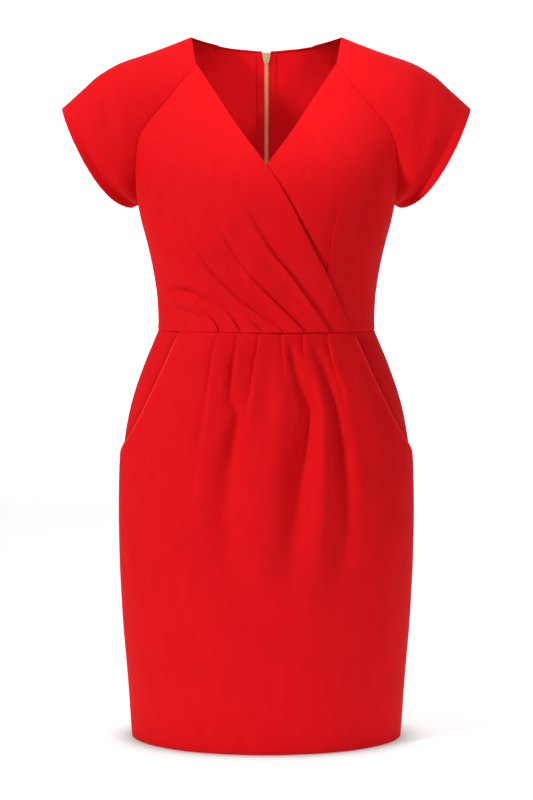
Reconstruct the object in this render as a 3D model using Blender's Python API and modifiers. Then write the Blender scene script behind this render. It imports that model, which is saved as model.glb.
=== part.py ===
"""Wrap-bodice dress with raglan cap sleeves, a pleated pencil skirt and a centre-back zip.

Metres, +Z up. The front faces -Y, the wearer's left is +X. Z = 0 is the level of the two
high shoulder points, and the origin lies midway between them.
"""
import math

import bpy
import numpy as np

# ------------------------------------------------------------------ driving sizes
WALL = 0.0015            # cloth wall
SEAM = 0.00015           # each piece stops this far short of a seam line
RAGLAN_SEAM = 0.0003     # the same at the raglan seams, where the two walls meet at an angle
WAIST = -0.3786          # level of the waist seam
UNDERARM = -0.2165       # level of the underarm point
HEM = -0.9153            # level of the hem
LAP = 0.0024             # how far the over panel stands off the under panel
LAP_ROOM = 0.0050        # how far the hidden part of the under panel lies in
V_POINT = -0.1714        # level where the two front edges cross
OPENING = 0.0060         # half the gap between the centre-back edges along the zip
ZIP_END = -0.555         # lower end of the zip
YOKE_SET = 0.0035        # how far the hip yoke lies behind the skirt front at the pocket edge
BAG_SET = 0.0060         # how much further in the pocket bag lies
POCKET_END = -0.545      # where the slant pocket edge meets the side seam
CHAIN_HALF = 0.0029
CHAIN_THICK = 0.0024
TAPE_OUT = 0.0125
TAPE_WALL = 0.0010
TAPE_SET = 0.0018        # tape's outer face below the outer face of the back
SLIDER_TOP = -0.0135     # level of the slider's upper end
HINGE_DOWN = 0.0075      # pull hinge below the slider's upper end, along the chain
HINGE_OUT = 0.00165      # pull hinge outside the back's outer face

RED = (0.70, 0.008, 0.012, 1)
TAPE_RED = (0.60, 0.010, 0.014, 1)
BRASS = (0.80, 0.60, 0.26, 1)


def table(columns, *rows):
    """Named columns of a table of rows."""
    return {name: np.array([row[i] for row in rows], float) for i, name in enumerate(columns.split())}


# Body of the dress, one row per level: half width at the side seam, power of the outline.
SIDE = table(
    "z half",
    (-0.2165, 0.1668), (-0.2361, 0.1629), (-0.2621, 0.1560), (-0.2881, 0.1499),
    (-0.3142, 0.1452), (-0.3403, 0.1421), (-0.3665, 0.1412), (-0.3786, 0.1420),
    (-0.3926, 0.1472), (-0.4136, 0.1564), (-0.4346, 0.1650), (-0.4556, 0.1730),
    (-0.4766, 0.1798), (-0.4977, 0.1850), (-0.5188, 0.1890), (-0.5399, 0.1920),
    (-0.5610, 0.1934), (-0.6193, 0.1942), (-0.6830, 0.1932), (-0.7257, 0.1914),
    (-0.7684, 0.1890), (-0.8112, 0.1855), (-0.8541, 0.1822), (-0.8971, 0.1795),
    (-0.9153, 0.1780))
ROUND = table("z power", (0.0, 2.4), (-0.2165, 2.4), (-0.3786, 2.3), (-0.56, 2.2), (-0.9153, 2.0))
FRONT = table(
    "z depth",
    (-0.020, 0.0220), (-0.036, 0.0376), (-0.0615, 0.0500), (-0.090, 0.0640),
    (-0.116, 0.0780), (-0.146, 0.0940), (-0.172, 0.1070), (-0.200, 0.1145),
    (-0.230, 0.1180), (-0.260, 0.1185), (-0.300, 0.1130), (-0.340, 0.1050),
    (-0.3786, 0.1000), (-0.420, 0.1060), (-0.470, 0.1140), (-0.530, 0.1200),
    (-0.600, 0.1240), (-0.680, 0.1250), (-0.760, 0.1235), (-0.840, 0.1215),
    (-0.9153, 0.1200))
BACK = table(
    "z depth",
    (0.0, 0.0678), (-0.0137, 0.0720), (-0.0500, 0.0828), (-0.085, 0.0905),
    (-0.120, 0.0960), (-0.160, 0.0990), (-0.210, 0.0990), (-0.270, 0.0940),
    (-0.330, 0.0900), (-0.3786, 0.0910), (-0.420, 0.1040), (-0.470, 0.1210),
    (-0.530, 0.1330), (-0.600, 0.1350), (-0.680, 0.1320), (-0.760, 0.1270),
    (-0.840, 0.1230), (-0.9153, 0.1200))
# Raglan seams from the neck to the underarm point.
RAGLAN_FRONT = table(
    "z x y",
    (-0.0360, 0.0905, 0.030), (-0.0615, 0.1100, 0.040), (-0.0900, 0.1330, 0.046),
    (-0.1160, 0.1545, 0.050), (-0.1325, 0.1630, 0.051), (-0.1465, 0.1660, 0.050),
    (-0.1720, 0.1680, 0.045), (-0.1950, 0.1682, 0.035), (-0.2100, 0.1675, 0.020),
    (-0.2165, 0.1668, 0.000))
RAGLAN_BACK = table(
    "z x y",
    (-0.0065, 0.0670, 0.043), (-0.0350, 0.0910, 0.056), (-0.0650, 0.1120, 0.064),
    (-0.0950, 0.1310, 0.066), (-0.1200, 0.1450, 0.063), (-0.1500, 0.1570, 0.056),
    (-0.1800, 0.1640, 0.045), (-0.2000, 0.1668, 0.030), (-0.2100, 0.1670, 0.016),
    (-0.2165, 0.1668, 0.000))
BACK_NECK = table("x z", (0.0, -0.0141), (0.0084, -0.0137), (0.0216, -0.0120), (0.0453, -0.0095),
                  (0.0670, -0.0065))
# Front edge of the over panel: neckline down to the point of the V, then the wrap edge.
WRAP = table(
    "z x",
    (-0.0360, -0.0905), (-0.0738, -0.0660), (-0.1231, -0.0336), (-0.1714, 0.0018),
    (-0.1944, 0.0171), (-0.2214, 0.0321), (-0.2489, 0.0459), (-0.2761, 0.0600),
    (-0.3051, 0.0757), (-0.3360, 0.0895), (-0.3625, 0.1006), (-0.3786, 0.1060))
POCKET = table(
    "z x",
    (-0.3786, 0.1115), (-0.4120, 0.1262), (-0.4400, 0.1390), (-0.4670, 0.1520),
    (-0.4970, 0.1672), (-0.5160, 0.1782), (-0.5300, 0.1868), (-0.5450, 0.1926))
BAG = table("z inner outer", (-0.3786, 0.1000, 0.0), (-0.460, 0.108, 0.0), (-0.520, 0.112, 0.0),
            (-0.545, 0.115, 0.000), (-0.556, 0.118, 0.003), (-0.575, 0.124, 0.012),
            (-0.600, 0.135, 0.030))

# Drape folds of the over panel. The cloth stands up on the side away from the wrap edge.
DRAPES = (
    (table("z x", (-0.3786, -0.0600), (-0.3635, -0.0671), (-0.3521, -0.0802), (-0.3436, -0.0949),
           (-0.3343, -0.1098), (-0.3000, -0.1250), (-0.2865, -0.1310)),
     table("z height", (-0.3786, 1.6), (-0.355, 2.2), (-0.340, 1.6), (-0.325, 0.0))),
    (table("z x", (-0.3786, -0.0330), (-0.3633, -0.0423), (-0.3518, -0.0509), (-0.3372, -0.0660),
           (-0.3230, -0.0860), (-0.3000, -0.1070), (-0.2865, -0.1150)),
     table("z height", (-0.3786, 2.0), (-0.355, 3.0), (-0.333, 3.0), (-0.315, 0.6), (-0.305, 0.0))),
    (table("z x", (-0.3786, -0.0060), (-0.3748, -0.0090), (-0.3618, -0.0220), (-0.3500, -0.0340),
           (-0.3300, -0.0580), (-0.3000, -0.0870), (-0.2865, -0.0970)),
     table("z height", (-0.3786, 1.6), (-0.364, 1.4), (-0.350, 0.0))),
    (table("z x", (-0.3786, 0.0210), (-0.3742, 0.0173), (-0.3631, 0.0011), (-0.3501, -0.0161),
           (-0.3356, -0.0364), (-0.3166, -0.0537), (-0.2991, -0.0683), (-0.2865, -0.0753)),
     table("z height", (-0.3786, 2.0), (-0.350, 3.4), (-0.320, 2.6), (-0.285, 1.0), (-0.265, 0.0))),
    (table("z x", (-0.3786, 0.0478), (-0.3737, 0.0439), (-0.3589, 0.0302), (-0.3444, 0.0156),
           (-0.3266, -0.0016), (-0.3077, -0.0161), (-0.2921, -0.0276)),
     table("z height", (-0.3786, 2.2), (-0.350, 3.0), (-0.315, 2.2), (-0.280, 0.6), (-0.265, 0.0))),
    (table("z x", (-0.3786, 0.0805), (-0.3741, 0.0770), (-0.3465, 0.0586), (-0.3204, 0.0399),
           (-0.2973, 0.0232), (-0.2776, 0.0080), (-0.2548, -0.0071), (-0.2364, -0.0179),
           (-0.2214, -0.0284)),
     table("z height", (-0.3786, 2.0), (-0.345, 3.4), (-0.300, 3.6), (-0.260, 2.2), (-0.2214, 0.0))),
)
# Waist pleats of the skirt front. The cloth stands up on the +X side of each line.
PLEATS = (
    (table("z x", (-0.3786, -0.0615), (-0.4113, -0.0682), (-0.4353, -0.0717), (-0.4712, -0.0766),
           (-0.5437, -0.0855), (-0.6086, -0.0928), (-0.9153, -0.1000)),
     table("z height", (-0.3786, 2.4), (-0.420, 3.2), (-0.480, 2.6), (-0.550, 1.4), (-0.620, 0.0))),
    (table("z x", (-0.3786, -0.0354), (-0.3988, -0.0378), (-0.4226, -0.0414), (-0.4464, -0.0438),
           (-0.4614, -0.0450), (-0.5186, -0.0500), (-0.6200, -0.0600), (-0.9153, -0.0640)),
     table("z height", (-0.3786, 3.0), (-0.420, 4.2), (-0.455, 2.6), (-0.490, 0.0))),
    (table("z x", (-0.3786, -0.0082), (-0.3987, -0.0112), (-0.4200, -0.0149), (-0.4420, -0.0179),
           (-0.4635, -0.0209), (-0.5026, -0.0270), (-0.6200, -0.0300), (-0.9153, -0.0300)),
     table("z height", (-0.3786, 3.0), (-0.420, 3.8), (-0.460, 2.4), (-0.510, 0.0))),
    (table("z x", (-0.3786, 0.0196), (-0.4150, 0.0223), (-0.4700, 0.0250), (-0.6200, 0.0200),
           (-0.9153, 0.0100)),
     table("z height", (-0.3786, 3.0), (-0.400, 2.8), (-0.435, 0.0))),
    (table("z x", (-0.3786, 0.0468), (-0.3976, 0.0474), (-0.4700, 0.0540), (-0.5500, 0.0530),
           (-0.9153, 0.0450)),
     table("z height", (-0.3786, 2.6), (-0.398, 2.0), (-0.420, 0.0))),
    (table("z x", (-0.3786, 0.0779), (-0.3994, 0.0815), (-0.4176, 0.0857), (-0.4359, 0.0918),
           (-0.4523, 0.0978), (-0.5200, 0.1030), (-0.6200, 0.1040), (-0.9153, 0.0970)),
     table("z height", (-0.3786, 2.8), (-0.410, 3.2), (-0.440, 2.2), (-0.475, 0.0))),
)
# Soft troughs (height below 0) and swells that run down from the pleats; spread is their half width.
SWELLS = (
    table("z x height spread", (-0.4000, -0.0440, 0.0, 6), (-0.4226, -0.0475, -2.6, 6),
          (-0.4500, -0.0490, -3.0, 7), (-0.4826, -0.0400, -4.6, 9), (-0.5186, -0.0471, -4.8, 11),
          (-0.5506, -0.0552, -4.2, 13), (-0.6236, -0.0610, -2.6, 15), (-0.7160, -0.0612, 0.0, 18)),
    table("z x height spread", (-0.3860, 0.0270, 0.0, 5), (-0.4050, 0.0300, -3.0, 6),
          (-0.4226, 0.0340, -4.0, 7), (-0.4409, 0.0395, -4.6, 8), (-0.4709, 0.0510, -6.0, 9),
          (-0.5028, 0.0475, -5.6, 10), (-0.5429, 0.0412, -4.6, 12), (-0.6231, 0.0299, -3.0, 14),
          (-0.7177, 0.0135, 0.0, 18)),
    table("z x height spread", (-0.3860, 0.0560, 0.0, 5), (-0.4053, 0.0620, -2.6, 6),
          (-0.4230, 0.0711, -3.6, 7), (-0.4468, 0.0780, -4.4, 7), (-0.4792, 0.0818, -4.6, 8),
          (-0.5273, 0.0849, -4.2, 10), (-0.5754, 0.0881, -3.2, 12), (-0.6652, 0.0916, -1.6, 14),
          (-0.7300, 0.0920, 0.0, 16)),
    table("z x height spread", (-0.4100, 0.0520, 0.0, 7), (-0.4500, 0.0620, 2.6, 8),
          (-0.4792, 0.0680, 4.0, 9), (-0.5400, 0.0650, 4.0, 12), (-0.6012, 0.0602, 3.2, 15),
          (-0.6798, 0.0476, 1.8, 18), (-0.7578, 0.0347, 0.0, 22)),
    table("z x height spread", (-0.4200, 0.0120, 0.0, 10), (-0.4700, 0.0120, 3.0, 14),
          (-0.5400, -0.0040, 3.2, 18), (-0.6400, -0.0150, 2.0, 24), (-0.7400, -0.0200, 0.0, 28)),
)
# Sleeve, one row per station from the neck edge to the cuff: ridge line over the shoulder, then
# the curve handles beside the seam (h0) and beside the ridge (h1). The back half uses -y.
SLEEVE = table(
    "v ridge_x ridge_z h0x h0y h0z h1x h1y h1z",
    (0.00, 0.0975, 0.0000, 0.0023, 0.010, 0.012, -0.001, -0.012, -0.006),
    (0.12, 0.1237, -0.0103, 0.0060, 0.004, 0.016, -0.001, -0.020, -0.006),
    (0.30, 0.1568, -0.0225, 0.0140, -0.003, 0.022, 0.000, -0.034, -0.007),
    (0.50, 0.1920, -0.0352, 0.0240, -0.008, 0.024, 0.001, -0.046, -0.009),
    (0.65, 0.2184, -0.0501, 0.0300, -0.018, 0.016, 0.000, -0.052, -0.010),
    (0.80, 0.2370, -0.0668, 0.0360, -0.036, 0.006, -0.002, -0.058, -0.010),
    (0.93, 0.2560, -0.0838, 0.0400, -0.062, 0.001, -0.003, -0.062, -0.010),
    (1.00, 0.2650, -0.0918, 0.0413, -0.072, 0.000, -0.004, -0.064, -0.009))
# Added to the back half's handles, so that the sleeve's neck edge runs on from the back neckline.
BACK_NECK_EASE = table(
    "v h0x h0y h0z h1x h1y h1z",
    (0.00, 0.0082, 0.0030, -0.0100, -0.003, -0.002, 0.0048),
    (0.12, 0.0, 0.0, 0.0, -0.002, 0.0, 0.002),
    (0.30, 0.0, 0.0, 0.0, 0.0, 0.0, 0.0),
    (1.00, 0.0, 0.0, 0.0, 0.0, 0.0, 0.0))
UNDERARM_STATION = 0.93   # station at which the sleeve's edges reach the underarm point
CUFF_UNDER = (0.1745, -0.2205)
SEAM_STEPS = 16           # grid rows along a raglan seam


def curve(rows, value, by="z"):
    """Smooth curve through two columns that never overshoots a row."""
    order = np.argsort(rows[by])
    x, y = rows[by][order], rows[value][order]
    step = np.diff(x)
    slope = np.diff(y) / step
    tangent = np.concatenate([slope[:1], np.zeros(len(x) - 2), slope[-1:]])
    for i in range(1, len(x) - 1):
        if slope[i - 1] * slope[i] > 0:
            before, after = 2 * step[i] + step[i - 1], step[i] + 2 * step[i - 1]
            tangent[i] = (before + after) / (before / slope[i - 1] + after / slope[i])

    def at(q):
        q = np.clip(np.asarray(q, float), x[0], x[-1])
        i = np.clip(np.searchsorted(x, q, side="right") - 1, 0, len(x) - 2)
        t = (q - x[i]) / step[i]
        ends = (2 * t**3 - 3 * t**2 + 1) * y[i] + (3 * t**2 - 2 * t**3) * y[i + 1]
        return ends + step[i] * ((t**3 - 2 * t**2 + t) * tangent[i] + (t**3 - t**2) * tangent[i + 1])

    return at


def ease(t):
    t = np.clip(t, 0, 1)
    return t * t * (3 - 2 * t)


def levels(*stops):
    """Levels from (level, rows up to the next stop) pairs, both ends included."""
    parts = [np.linspace(stops[i][0], stops[i + 1][0], stops[i][1], endpoint=False)
             for i in range(len(stops) - 1)]
    return np.concatenate(parts + [[stops[-1][0]]])


side_half = curve(SIDE, "half")
power_at = curve(ROUND, "power")
wrap_x = curve(WRAP, "x")
pocket_x = curve(POCKET, "x")
bag_inner = curve(BAG, "inner")
bag_outer = curve(BAG, "outer")


class Skin:
    """Front or back outer surface of the body: x follows an angle, y the depth, at any level."""

    def __init__(self, facing, depth, seam):
        self.facing = facing
        self.depth = curve(depth, "depth")
        self.seam_x = curve(seam, "x")
        self.seam_y = curve(seam, "y")

    def half(self, z):
        """Half width. Above the underarm it is the one that carries the outline through the seam."""
        z = np.asarray(z, float)
        up = np.maximum(z, UNDERARM)
        power = power_at(up)
        share = np.clip(self.seam_y(up) / self.depth(up), 0, 0.999)
        chest = self.seam_x(up) / (1 - share**power) ** (1 / power)
        return np.where(z > UNDERARM, chest, side_half(np.minimum(z, UNDERARM)))

    def angle(self, x, z):
        share = np.clip(np.abs(x) / self.half(z), 0, 1) ** (power_at(z) / 2)
        return np.sign(x) * np.arcsin(share)

    def base(self, angle, z):
        power = power_at(z)
        x = self.half(z) * np.sign(angle) * np.abs(np.sin(angle)) ** (2 / power)
        y = self.facing * self.depth(z) * np.maximum(np.cos(angle), 0) ** (2 / power)
        return np.stack([x, y, z + 0 * x], -1)

    def gauge(self, p):
        power = power_at(p[..., 2])
        across = np.abs(p[..., 0]) / self.half(p[..., 2])
        return across**power + np.abs(p[..., 1] / self.depth(p[..., 2])) ** power

    def normal(self, p):
        reach = 1e-5
        steps = reach * np.eye(3)
        n = np.stack([self.gauge(p + s) - self.gauge(p - s) for s in steps], -1)
        return n / np.linalg.norm(n, axis=-1, keepdims=True)

    def at(self, angle, z, out=0.0):
        p = self.base(angle, z)
        return p + self.normal(p) * np.asarray(out)[..., None]


FRONT_SKIN = Skin(-1, FRONT, RAGLAN_FRONT)
BACK_SKIN = Skin(1, BACK, RAGLAN_BACK)


def seam_points(skin, top):
    """Points of a raglan seam at equal distances, from the neck to the underarm point."""
    z = np.linspace(top, UNDERARM, 400)
    p = np.stack([skin.seam_x(z), skin.facing * skin.seam_y(z), z], -1)
    run = np.concatenate([[0], np.cumsum(np.linalg.norm(np.diff(p, axis=0), axis=1))])
    at = np.linspace(0, run[-1], SEAM_STEPS)
    return np.stack([np.interp(at, run, p[:, i]) for i in range(3)], -1)


FRONT_SEAM = seam_points(FRONT_SKIN, float(RAGLAN_FRONT["z"].max()))
BACK_SEAM = seam_points(BACK_SKIN, float(RAGLAN_BACK["z"].max()))
# Grid rows: levels of the pieces at their outer edges. Above the underarm they follow the seams.
OVER_ROWS = np.concatenate([levels((WAIST + SEAM, 9), (-0.320, 8), (UNDERARM, 1))[:-1],
                            FRONT_SEAM[::-1, 2][:-1], [-0.0390]])
UNDER_ROWS = np.concatenate([levels((WAIST + SEAM, 8), (UNDERARM, 1))[:-1],
                             FRONT_SEAM[::-1, 2][:-1], [-0.0390]])
BACK_ROWS = np.concatenate([levels((WAIST + SEAM, 9), (UNDERARM, 1))[:-1], BACK_SEAM[::-1, 2]])
BACK_LEVELS = levels((HEM, 6), (-0.640, 3), (ZIP_END - 0.012, 2), (ZIP_END + 0.002, 8), (WAIST - SEAM, 1))


def track(path, z, left, right):
    """x of a fold line at each level. Above its last row it keeps its share of the width."""
    top = path["z"].max()
    x = curve(path, "x")(z)
    at_top = float(curve(path, "x")(top))
    share = (at_top - left(top)) / (right(top) - left(top))
    return np.where(z > top, left(z) + share * (right(z) - left(z)), x)


def columns(skin, z, lines, counts):
    """Angles of the grid columns at one level: counts[i] steps from line i to line i + 1."""
    angles = [skin.angle(x, z) for x in lines]
    parts = [np.linspace(angles[i], angles[i + 1], counts[i], endpoint=False) for i in range(len(counts))]
    return np.concatenate(parts + [angles[-1:]])


def with_edge(angles, z, ends=(0, -1)):
    """Adds a narrow column inside an edge, so that the wall turns square to the seam there."""
    most = 0.0025 / float(side_half(z))
    angles = list(angles)
    if -1 in ends:
        step = float(np.clip(0.4 * (angles[-2] - angles[-1]), -most, most))
        angles.insert(len(angles) - 1, angles[-1] + step)
    if 0 in ends:
        step = float(np.clip(0.4 * (angles[1] - angles[0]), -most, most))
        angles.insert(1, angles[0] + step)
    return np.array(angles)


def fold_lines(folds, z, left, right, spread):
    """Both edges and a pair of grid lines either side of each fold, kept in order."""
    lines = [float(left(z))]
    for path, heights in folds:
        x = float(track(path, z, left, right))
        lines += [x - spread, x + spread]
    least = 0.012 * (float(right(z)) - lines[0])
    for i in range(1, len(lines)):
        lines[i] = max(lines[i], lines[i - 1] + least)
    return lines + [float(right(z))]


def folded(folds, x, z, left, right, raised, reach=(9.0, 12.0)):
    """Height in metres of sharp folds. raised is the side of each line (-1 or 1) that stands up."""
    total = 0 * x
    for path, heights in folds:
        line = track(path, z, left, right)
        slope = (track(path, z + 0.002, left, right) - track(path, z - 0.002, left, right)) / 0.004
        off = raised * (x - line) / np.sqrt(1 + slope**2) * 1000
        height = curve(heights, "height")(z)
        total = total + height * np.where(off > 0, np.exp(-off / reach[0]), -0.6 * np.exp(off / reach[1]))
    return total / 1000


def swollen(x, z):
    """Height in metres of the soft troughs and swells."""
    total = 0 * x
    for path in SWELLS:
        off = (x - curve(path, "x")(z)) * 1000 / curve(path, "spread")(z)
        fade = (z <= path["z"].max()) & (z >= path["z"].min())
        total = total + fade * curve(path, "height")(z) * np.exp(-0.5 * off**2)
    return total / 1000


def over_out(x):
    """The over panel stands off the body from a little left of the V to the wrap edge."""
    return LAP * ease((x + 0.060) / 0.050)


def under_out(x, z):
    """The under panel's hidden part lies in, less so at the waist seam."""
    hidden = (wrap_x(z) - x) / 0.050
    room = LAP_ROOM * (1 - 0.5 * ease((-0.345 - z) / 0.034))
    return -room * ease(hidden)


# ------------------------------------------------------------------ objects
def material(name, color, metallic, roughness):
    mat = bpy.data.materials.new(name)
    mat.use_nodes = True
    shader = mat.node_tree.nodes["Principled BSDF"]
    shader.inputs["Base Color"].default_value = color
    shader.inputs["Metallic"].default_value = metallic
    shader.inputs["Roughness"].default_value = roughness
    mat.diffuse_color = color
    return mat


def add(name, mesh, mat, smooth=True):
    obj = bpy.data.objects.new(name, mesh)
    mesh.materials.append(mat)
    mesh.polygons.foreach_set("use_smooth", [smooth] * len(mesh.polygons))
    DRESS.objects.link(obj)
    return obj


def sheet(name, grid, mat, wall=WALL):
    """Panel from a grid of points on its outer face (rows up, columns so that it faces out)."""
    rows, cols = grid.shape[:2]
    faces = []
    for r in range(rows - 1):
        for c in range(cols - 1):
            a = r * cols + c
            faces.append((a, a + 1, a + cols + 1, a + cols))
    mesh = bpy.data.meshes.new(name)
    mesh.from_pydata(grid.reshape(-1, 3).tolist(), [], faces)
    obj = add(name, mesh, mat)
    solid = obj.modifiers.new("wall", "SOLIDIFY")
    solid.thickness = wall
    solid.offset = -1
    solid.use_quality_normals = True
    return obj


def seamed(grid, row, z):
    """The grid with its first (0) or last (-1) row square to the waist seam, exactly at a level."""
    edge = grid[row].copy()
    edge[:, 2] = z
    beside = edge.copy()
    beside[:, 2] = z + (WALL if row == 0 else -WALL)
    if row == 0:
        return np.concatenate([[edge, beside], grid[1:]])
    return np.concatenate([grid[:-1], [beside, edge]])


def mirrored(grid):
    """The same panel on the other side of the body, still facing out."""
    return (grid * (-1, 1, 1))[:, ::-1]


# ------------------------------------------------------------------ bodice
def armhole(skin, z):
    """Outermost angle of a bodice panel: the side seam, or the raglan seam above the underarm."""
    if z <= UNDERARM:
        return math.pi / 2 - SEAM / side_half(z)
    return float(skin.angle(skin.seam_x(z) - RAGLAN_SEAM, z))


def side_x(z):
    return float(np.where(z <= UNDERARM, side_half(z), FRONT_SKIN.seam_x(z) - RAGLAN_SEAM))


def bodice_over():
    def left(z):
        return np.where(z <= UNDERARM, -side_half(z), RAGLAN_SEAM - FRONT_SKIN.seam_x(z))

    rows = []
    for z in OVER_ROWS:
        width = float(wrap_x(z)) + side_x(z)
        spread = min(0.0012 + 0.003 * float(ease((z + 0.30) / 0.06)), 0.02 * width)
        lines = fold_lines(DRAPES, z, left, wrap_x, spread)
        angles = columns(FRONT_SKIN, z, lines, (5, 1, 1, 1, 1, 1, 2, 1, 2, 1, 2, 1, 3))
        angles[0] = -armhole(FRONT_SKIN, z)
        angles = with_edge(angles, z, (0,))
        x = FRONT_SKIN.base(angles, z + 0 * angles)[:, 0]
        out = over_out(x) + folded(DRAPES, x, z + 0 * x, left, wrap_x, -1)
        edge = ease((wrap_x(z) - x) / 0.012) * ease((x - lines[0]) / 0.012)
        out = over_out(x) + (out - over_out(x)) * edge
        rows.append(FRONT_SKIN.at(angles, z + 0 * angles, out))
    return seamed(np.array(rows), 0, WAIST + SEAM)


def bodice_under():
    rows = []
    for z in UNDER_ROWS:
        angles = columns(FRONT_SKIN, z, [-float(wrap_x(z)), side_x(z)], (13,))
        angles[-1] = armhole(FRONT_SKIN, z)
        angles = with_edge(angles, z, (-1,))
        x = FRONT_SKIN.base(angles, z + 0 * angles)[:, 0]
        out = under_out(x, z + 0 * x) if z <= V_POINT else 0 * x
        rows.append(FRONT_SKIN.at(angles, z + 0 * angles, out))
    return seamed(np.array(rows), 0, WAIST + SEAM)


def centre_back(z):
    """Half the gap between the centre-back edges."""
    return SEAM + (OPENING - SEAM) * float(ease((z - (ZIP_END - 0.010)) / 0.010))


back_neck_z = curve(BACK_NECK, "z", by="x")


def back_level(z, x):
    """Level of a grid row at x, from its level z at the outer edge. The top row is the neckline."""
    share = max(z - UNDERARM, 0) / (BACK_SEAM[0, 2] - UNDERARM)
    return z + share * (float(back_neck_z(x)) - BACK_SEAM[0, 2])


def bodice_back():
    """Wearer's left half. Its columns run from the side to the centre back."""
    rows = []
    for outer_z in BACK_ROWS:
        row = []
        outer = armhole(BACK_SKIN, outer_z)
        for across in [0, 0.02, *np.linspace(0, 1, 9)[1:]]:
            z = back_level(outer_z, TAPE_OUT + (1 - across) * (0.067 - TAPE_OUT))
            inner = float(BACK_SKIN.angle(TAPE_OUT, z))
            row.append(BACK_SKIN.at(outer + across * (inner - outer), z))
        z = back_level(outer_z, OPENING)
        row.append(BACK_SKIN.at(float(BACK_SKIN.angle(OPENING, z)), z))
        rows.append(row)
    return np.array(rows)


# ------------------------------------------------------------------ sleeve
def sleeve():
    """Wearer's left sleeve: rows from the cuff to the neck edge, columns from front to back."""
    keys = {name: curve(SLEEVE, name, by="v") for name in SLEEVE if name != "v"}
    more = {name: curve(BACK_NECK_EASE, name, by="v") for name in BACK_NECK_EASE if name != "v"}
    seams = {-1: FRONT_SEAM, 1: BACK_SEAM}
    stations = np.concatenate([np.linspace(0, UNDERARM_STATION, SEAM_STEPS), [1.0]])[::-1]
    rows = []
    for v in stations:
        ridge = np.array([keys["ridge_x"](v), 0, keys["ridge_z"](v)])
        halves = []
        for facing in (-1, 1):
            seam = seams[facing][min(round(v / UNDERARM_STATION * (SEAM_STEPS - 1)), SEAM_STEPS - 1)]
            if v > UNDERARM_STATION:
                t = (v - UNDERARM_STATION) / (1 - UNDERARM_STATION)
                seam = seam + t * (np.array([CUFF_UNDER[0], 0, CUFF_UNDER[1]]) - seam)
            flip = np.array([1, -facing, 1])
            h0, h1 = (np.array([float(keys[end + i](v) + (facing > 0) * more[end + i](v)) for i in "xyz"]) * flip
                      for end in ("h0", "h1"))
            t = np.linspace(0, 1, 8)[:, None]
            arc = ((1 - t)**3 * seam + 3 * (1 - t)**2 * t * (seam + h0)
                   + 3 * (1 - t) * t**2 * (ridge + h1) + t**3 * ridge)
            start = (arc[1] - arc[0]) / np.linalg.norm(arc[1] - arc[0])
            first, second = arc[0] + RAGLAN_SEAM * start, arc[0] + 0.0022 * start
            if v >= UNDERARM_STATION - 1e-9:
                first = arc[0] + np.array([RAGLAN_SEAM, facing * 0.0006, 0])
                second = first + np.array([RAGLAN_SEAM, facing * 0.0022, 0])
            halves.append(np.concatenate([[first, second], arc[1:]]))
        rows.append(np.concatenate([halves[0], halves[1][::-1][1:]]))
    return np.array(rows)


# ------------------------------------------------------------------ skirt
def skirt_front():
    def edge_x(z):
        return np.where(z > POCKET_END, pocket_x(z), side_half(z))

    def left(z):
        return -edge_x(z)

    rows = []
    for z in levels((HEM, 5), (-0.700, 9), (-0.520, 12), (WAIST - SEAM, 1)):
        spread = 0.0012 + 0.0035 * float(ease((-0.42 - z) / 0.12))
        lines = fold_lines(PLEATS, z, left, edge_x, spread)
        angles = columns(FRONT_SKIN, z, lines, (7, 1, 3, 1, 3, 1, 3, 1, 3, 1, 3, 1, 7))
        if z <= POCKET_END:
            angles[0] = SEAM / side_half(z) - math.pi / 2
            angles[-1] = -angles[0]
        angles = with_edge(angles, z)
        x = FRONT_SKIN.base(angles, z + 0 * angles)[:, 0]
        out = folded(PLEATS, x, z + 0 * x, left, edge_x, 1, (8.0, 10.0)) + swollen(x, z + 0 * x)
        out = out * ease((edge_x(z) - np.abs(x)) / 0.015)
        rows.append(FRONT_SKIN.at(angles, z + 0 * angles, out))
    return seamed(np.array(rows), -1, WAIST - SEAM)


def skirt_back():
    """Wearer's left half. Its columns run from the side to the centre back."""
    rows = []
    for z in BACK_LEVELS:
        outer = math.pi / 2 - SEAM / side_half(z)
        angles = with_edge(np.linspace(outer, float(BACK_SKIN.angle(TAPE_OUT, z)), 11), z, (0,))
        angles = np.append(angles, BACK_SKIN.angle(centre_back(z), z))
        rows.append(BACK_SKIN.at(angles, z + 0 * angles))
    return np.array(rows)


def hip_yoke():
    """Wearer's left: the part that shows at the pocket edge and the plain bag behind the front."""
    rows = []
    for z in levels((-0.600, 3), (-0.556, 1), (-0.545, 8), (WAIST - SEAM, 1)):
        edge = float(pocket_x(z)) if z > POCKET_END else float(side_half(z))
        inner = float(FRONT_SKIN.angle(bag_inner(z), z))
        back_off = float(bag_outer(z))
        outer = math.pi / 2 - SEAM / side_half(z)
        if back_off > 0:
            outer = float(FRONT_SKIN.angle(side_half(z) - back_off, z))
        angles = with_edge(np.linspace(inner, outer, 10), z, (-1,))
        x = FRONT_SKIN.base(angles, z + 0 * angles)[:, 0]
        down = float(ease((WAIST - z) / (WAIST - POCKET_END)))
        at_side = 0.0004 + 0.0034 * down
        across = ease((side_half(z) - x) / max(side_half(z) - edge, 0.004))
        behind = BAG_SET * ease((edge - x) / 0.035)
        if z <= POCKET_END:
            across, behind = 1 + 0 * x, BAG_SET * ease((side_half(z) - x) / 0.035)
        out = -(at_side + (YOKE_SET - at_side) * across + behind) - 0.0004 * (z <= POCKET_END)
        rows.append(FRONT_SKIN.at(angles, z + 0 * angles, out))
    return seamed(np.array(rows), -1, WAIST - SEAM)


# ------------------------------------------------------------------ zip
def zip_levels():
    """Levels along the zip, as functions of x, at the grid rows of the back pieces."""
    below = [lambda x, z=z: z for z in BACK_LEVELS if z > ZIP_END - 0.013]
    above = [lambda x, z=z: back_level(z, x) for z in BACK_ROWS[1:]]
    return below + above


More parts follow.
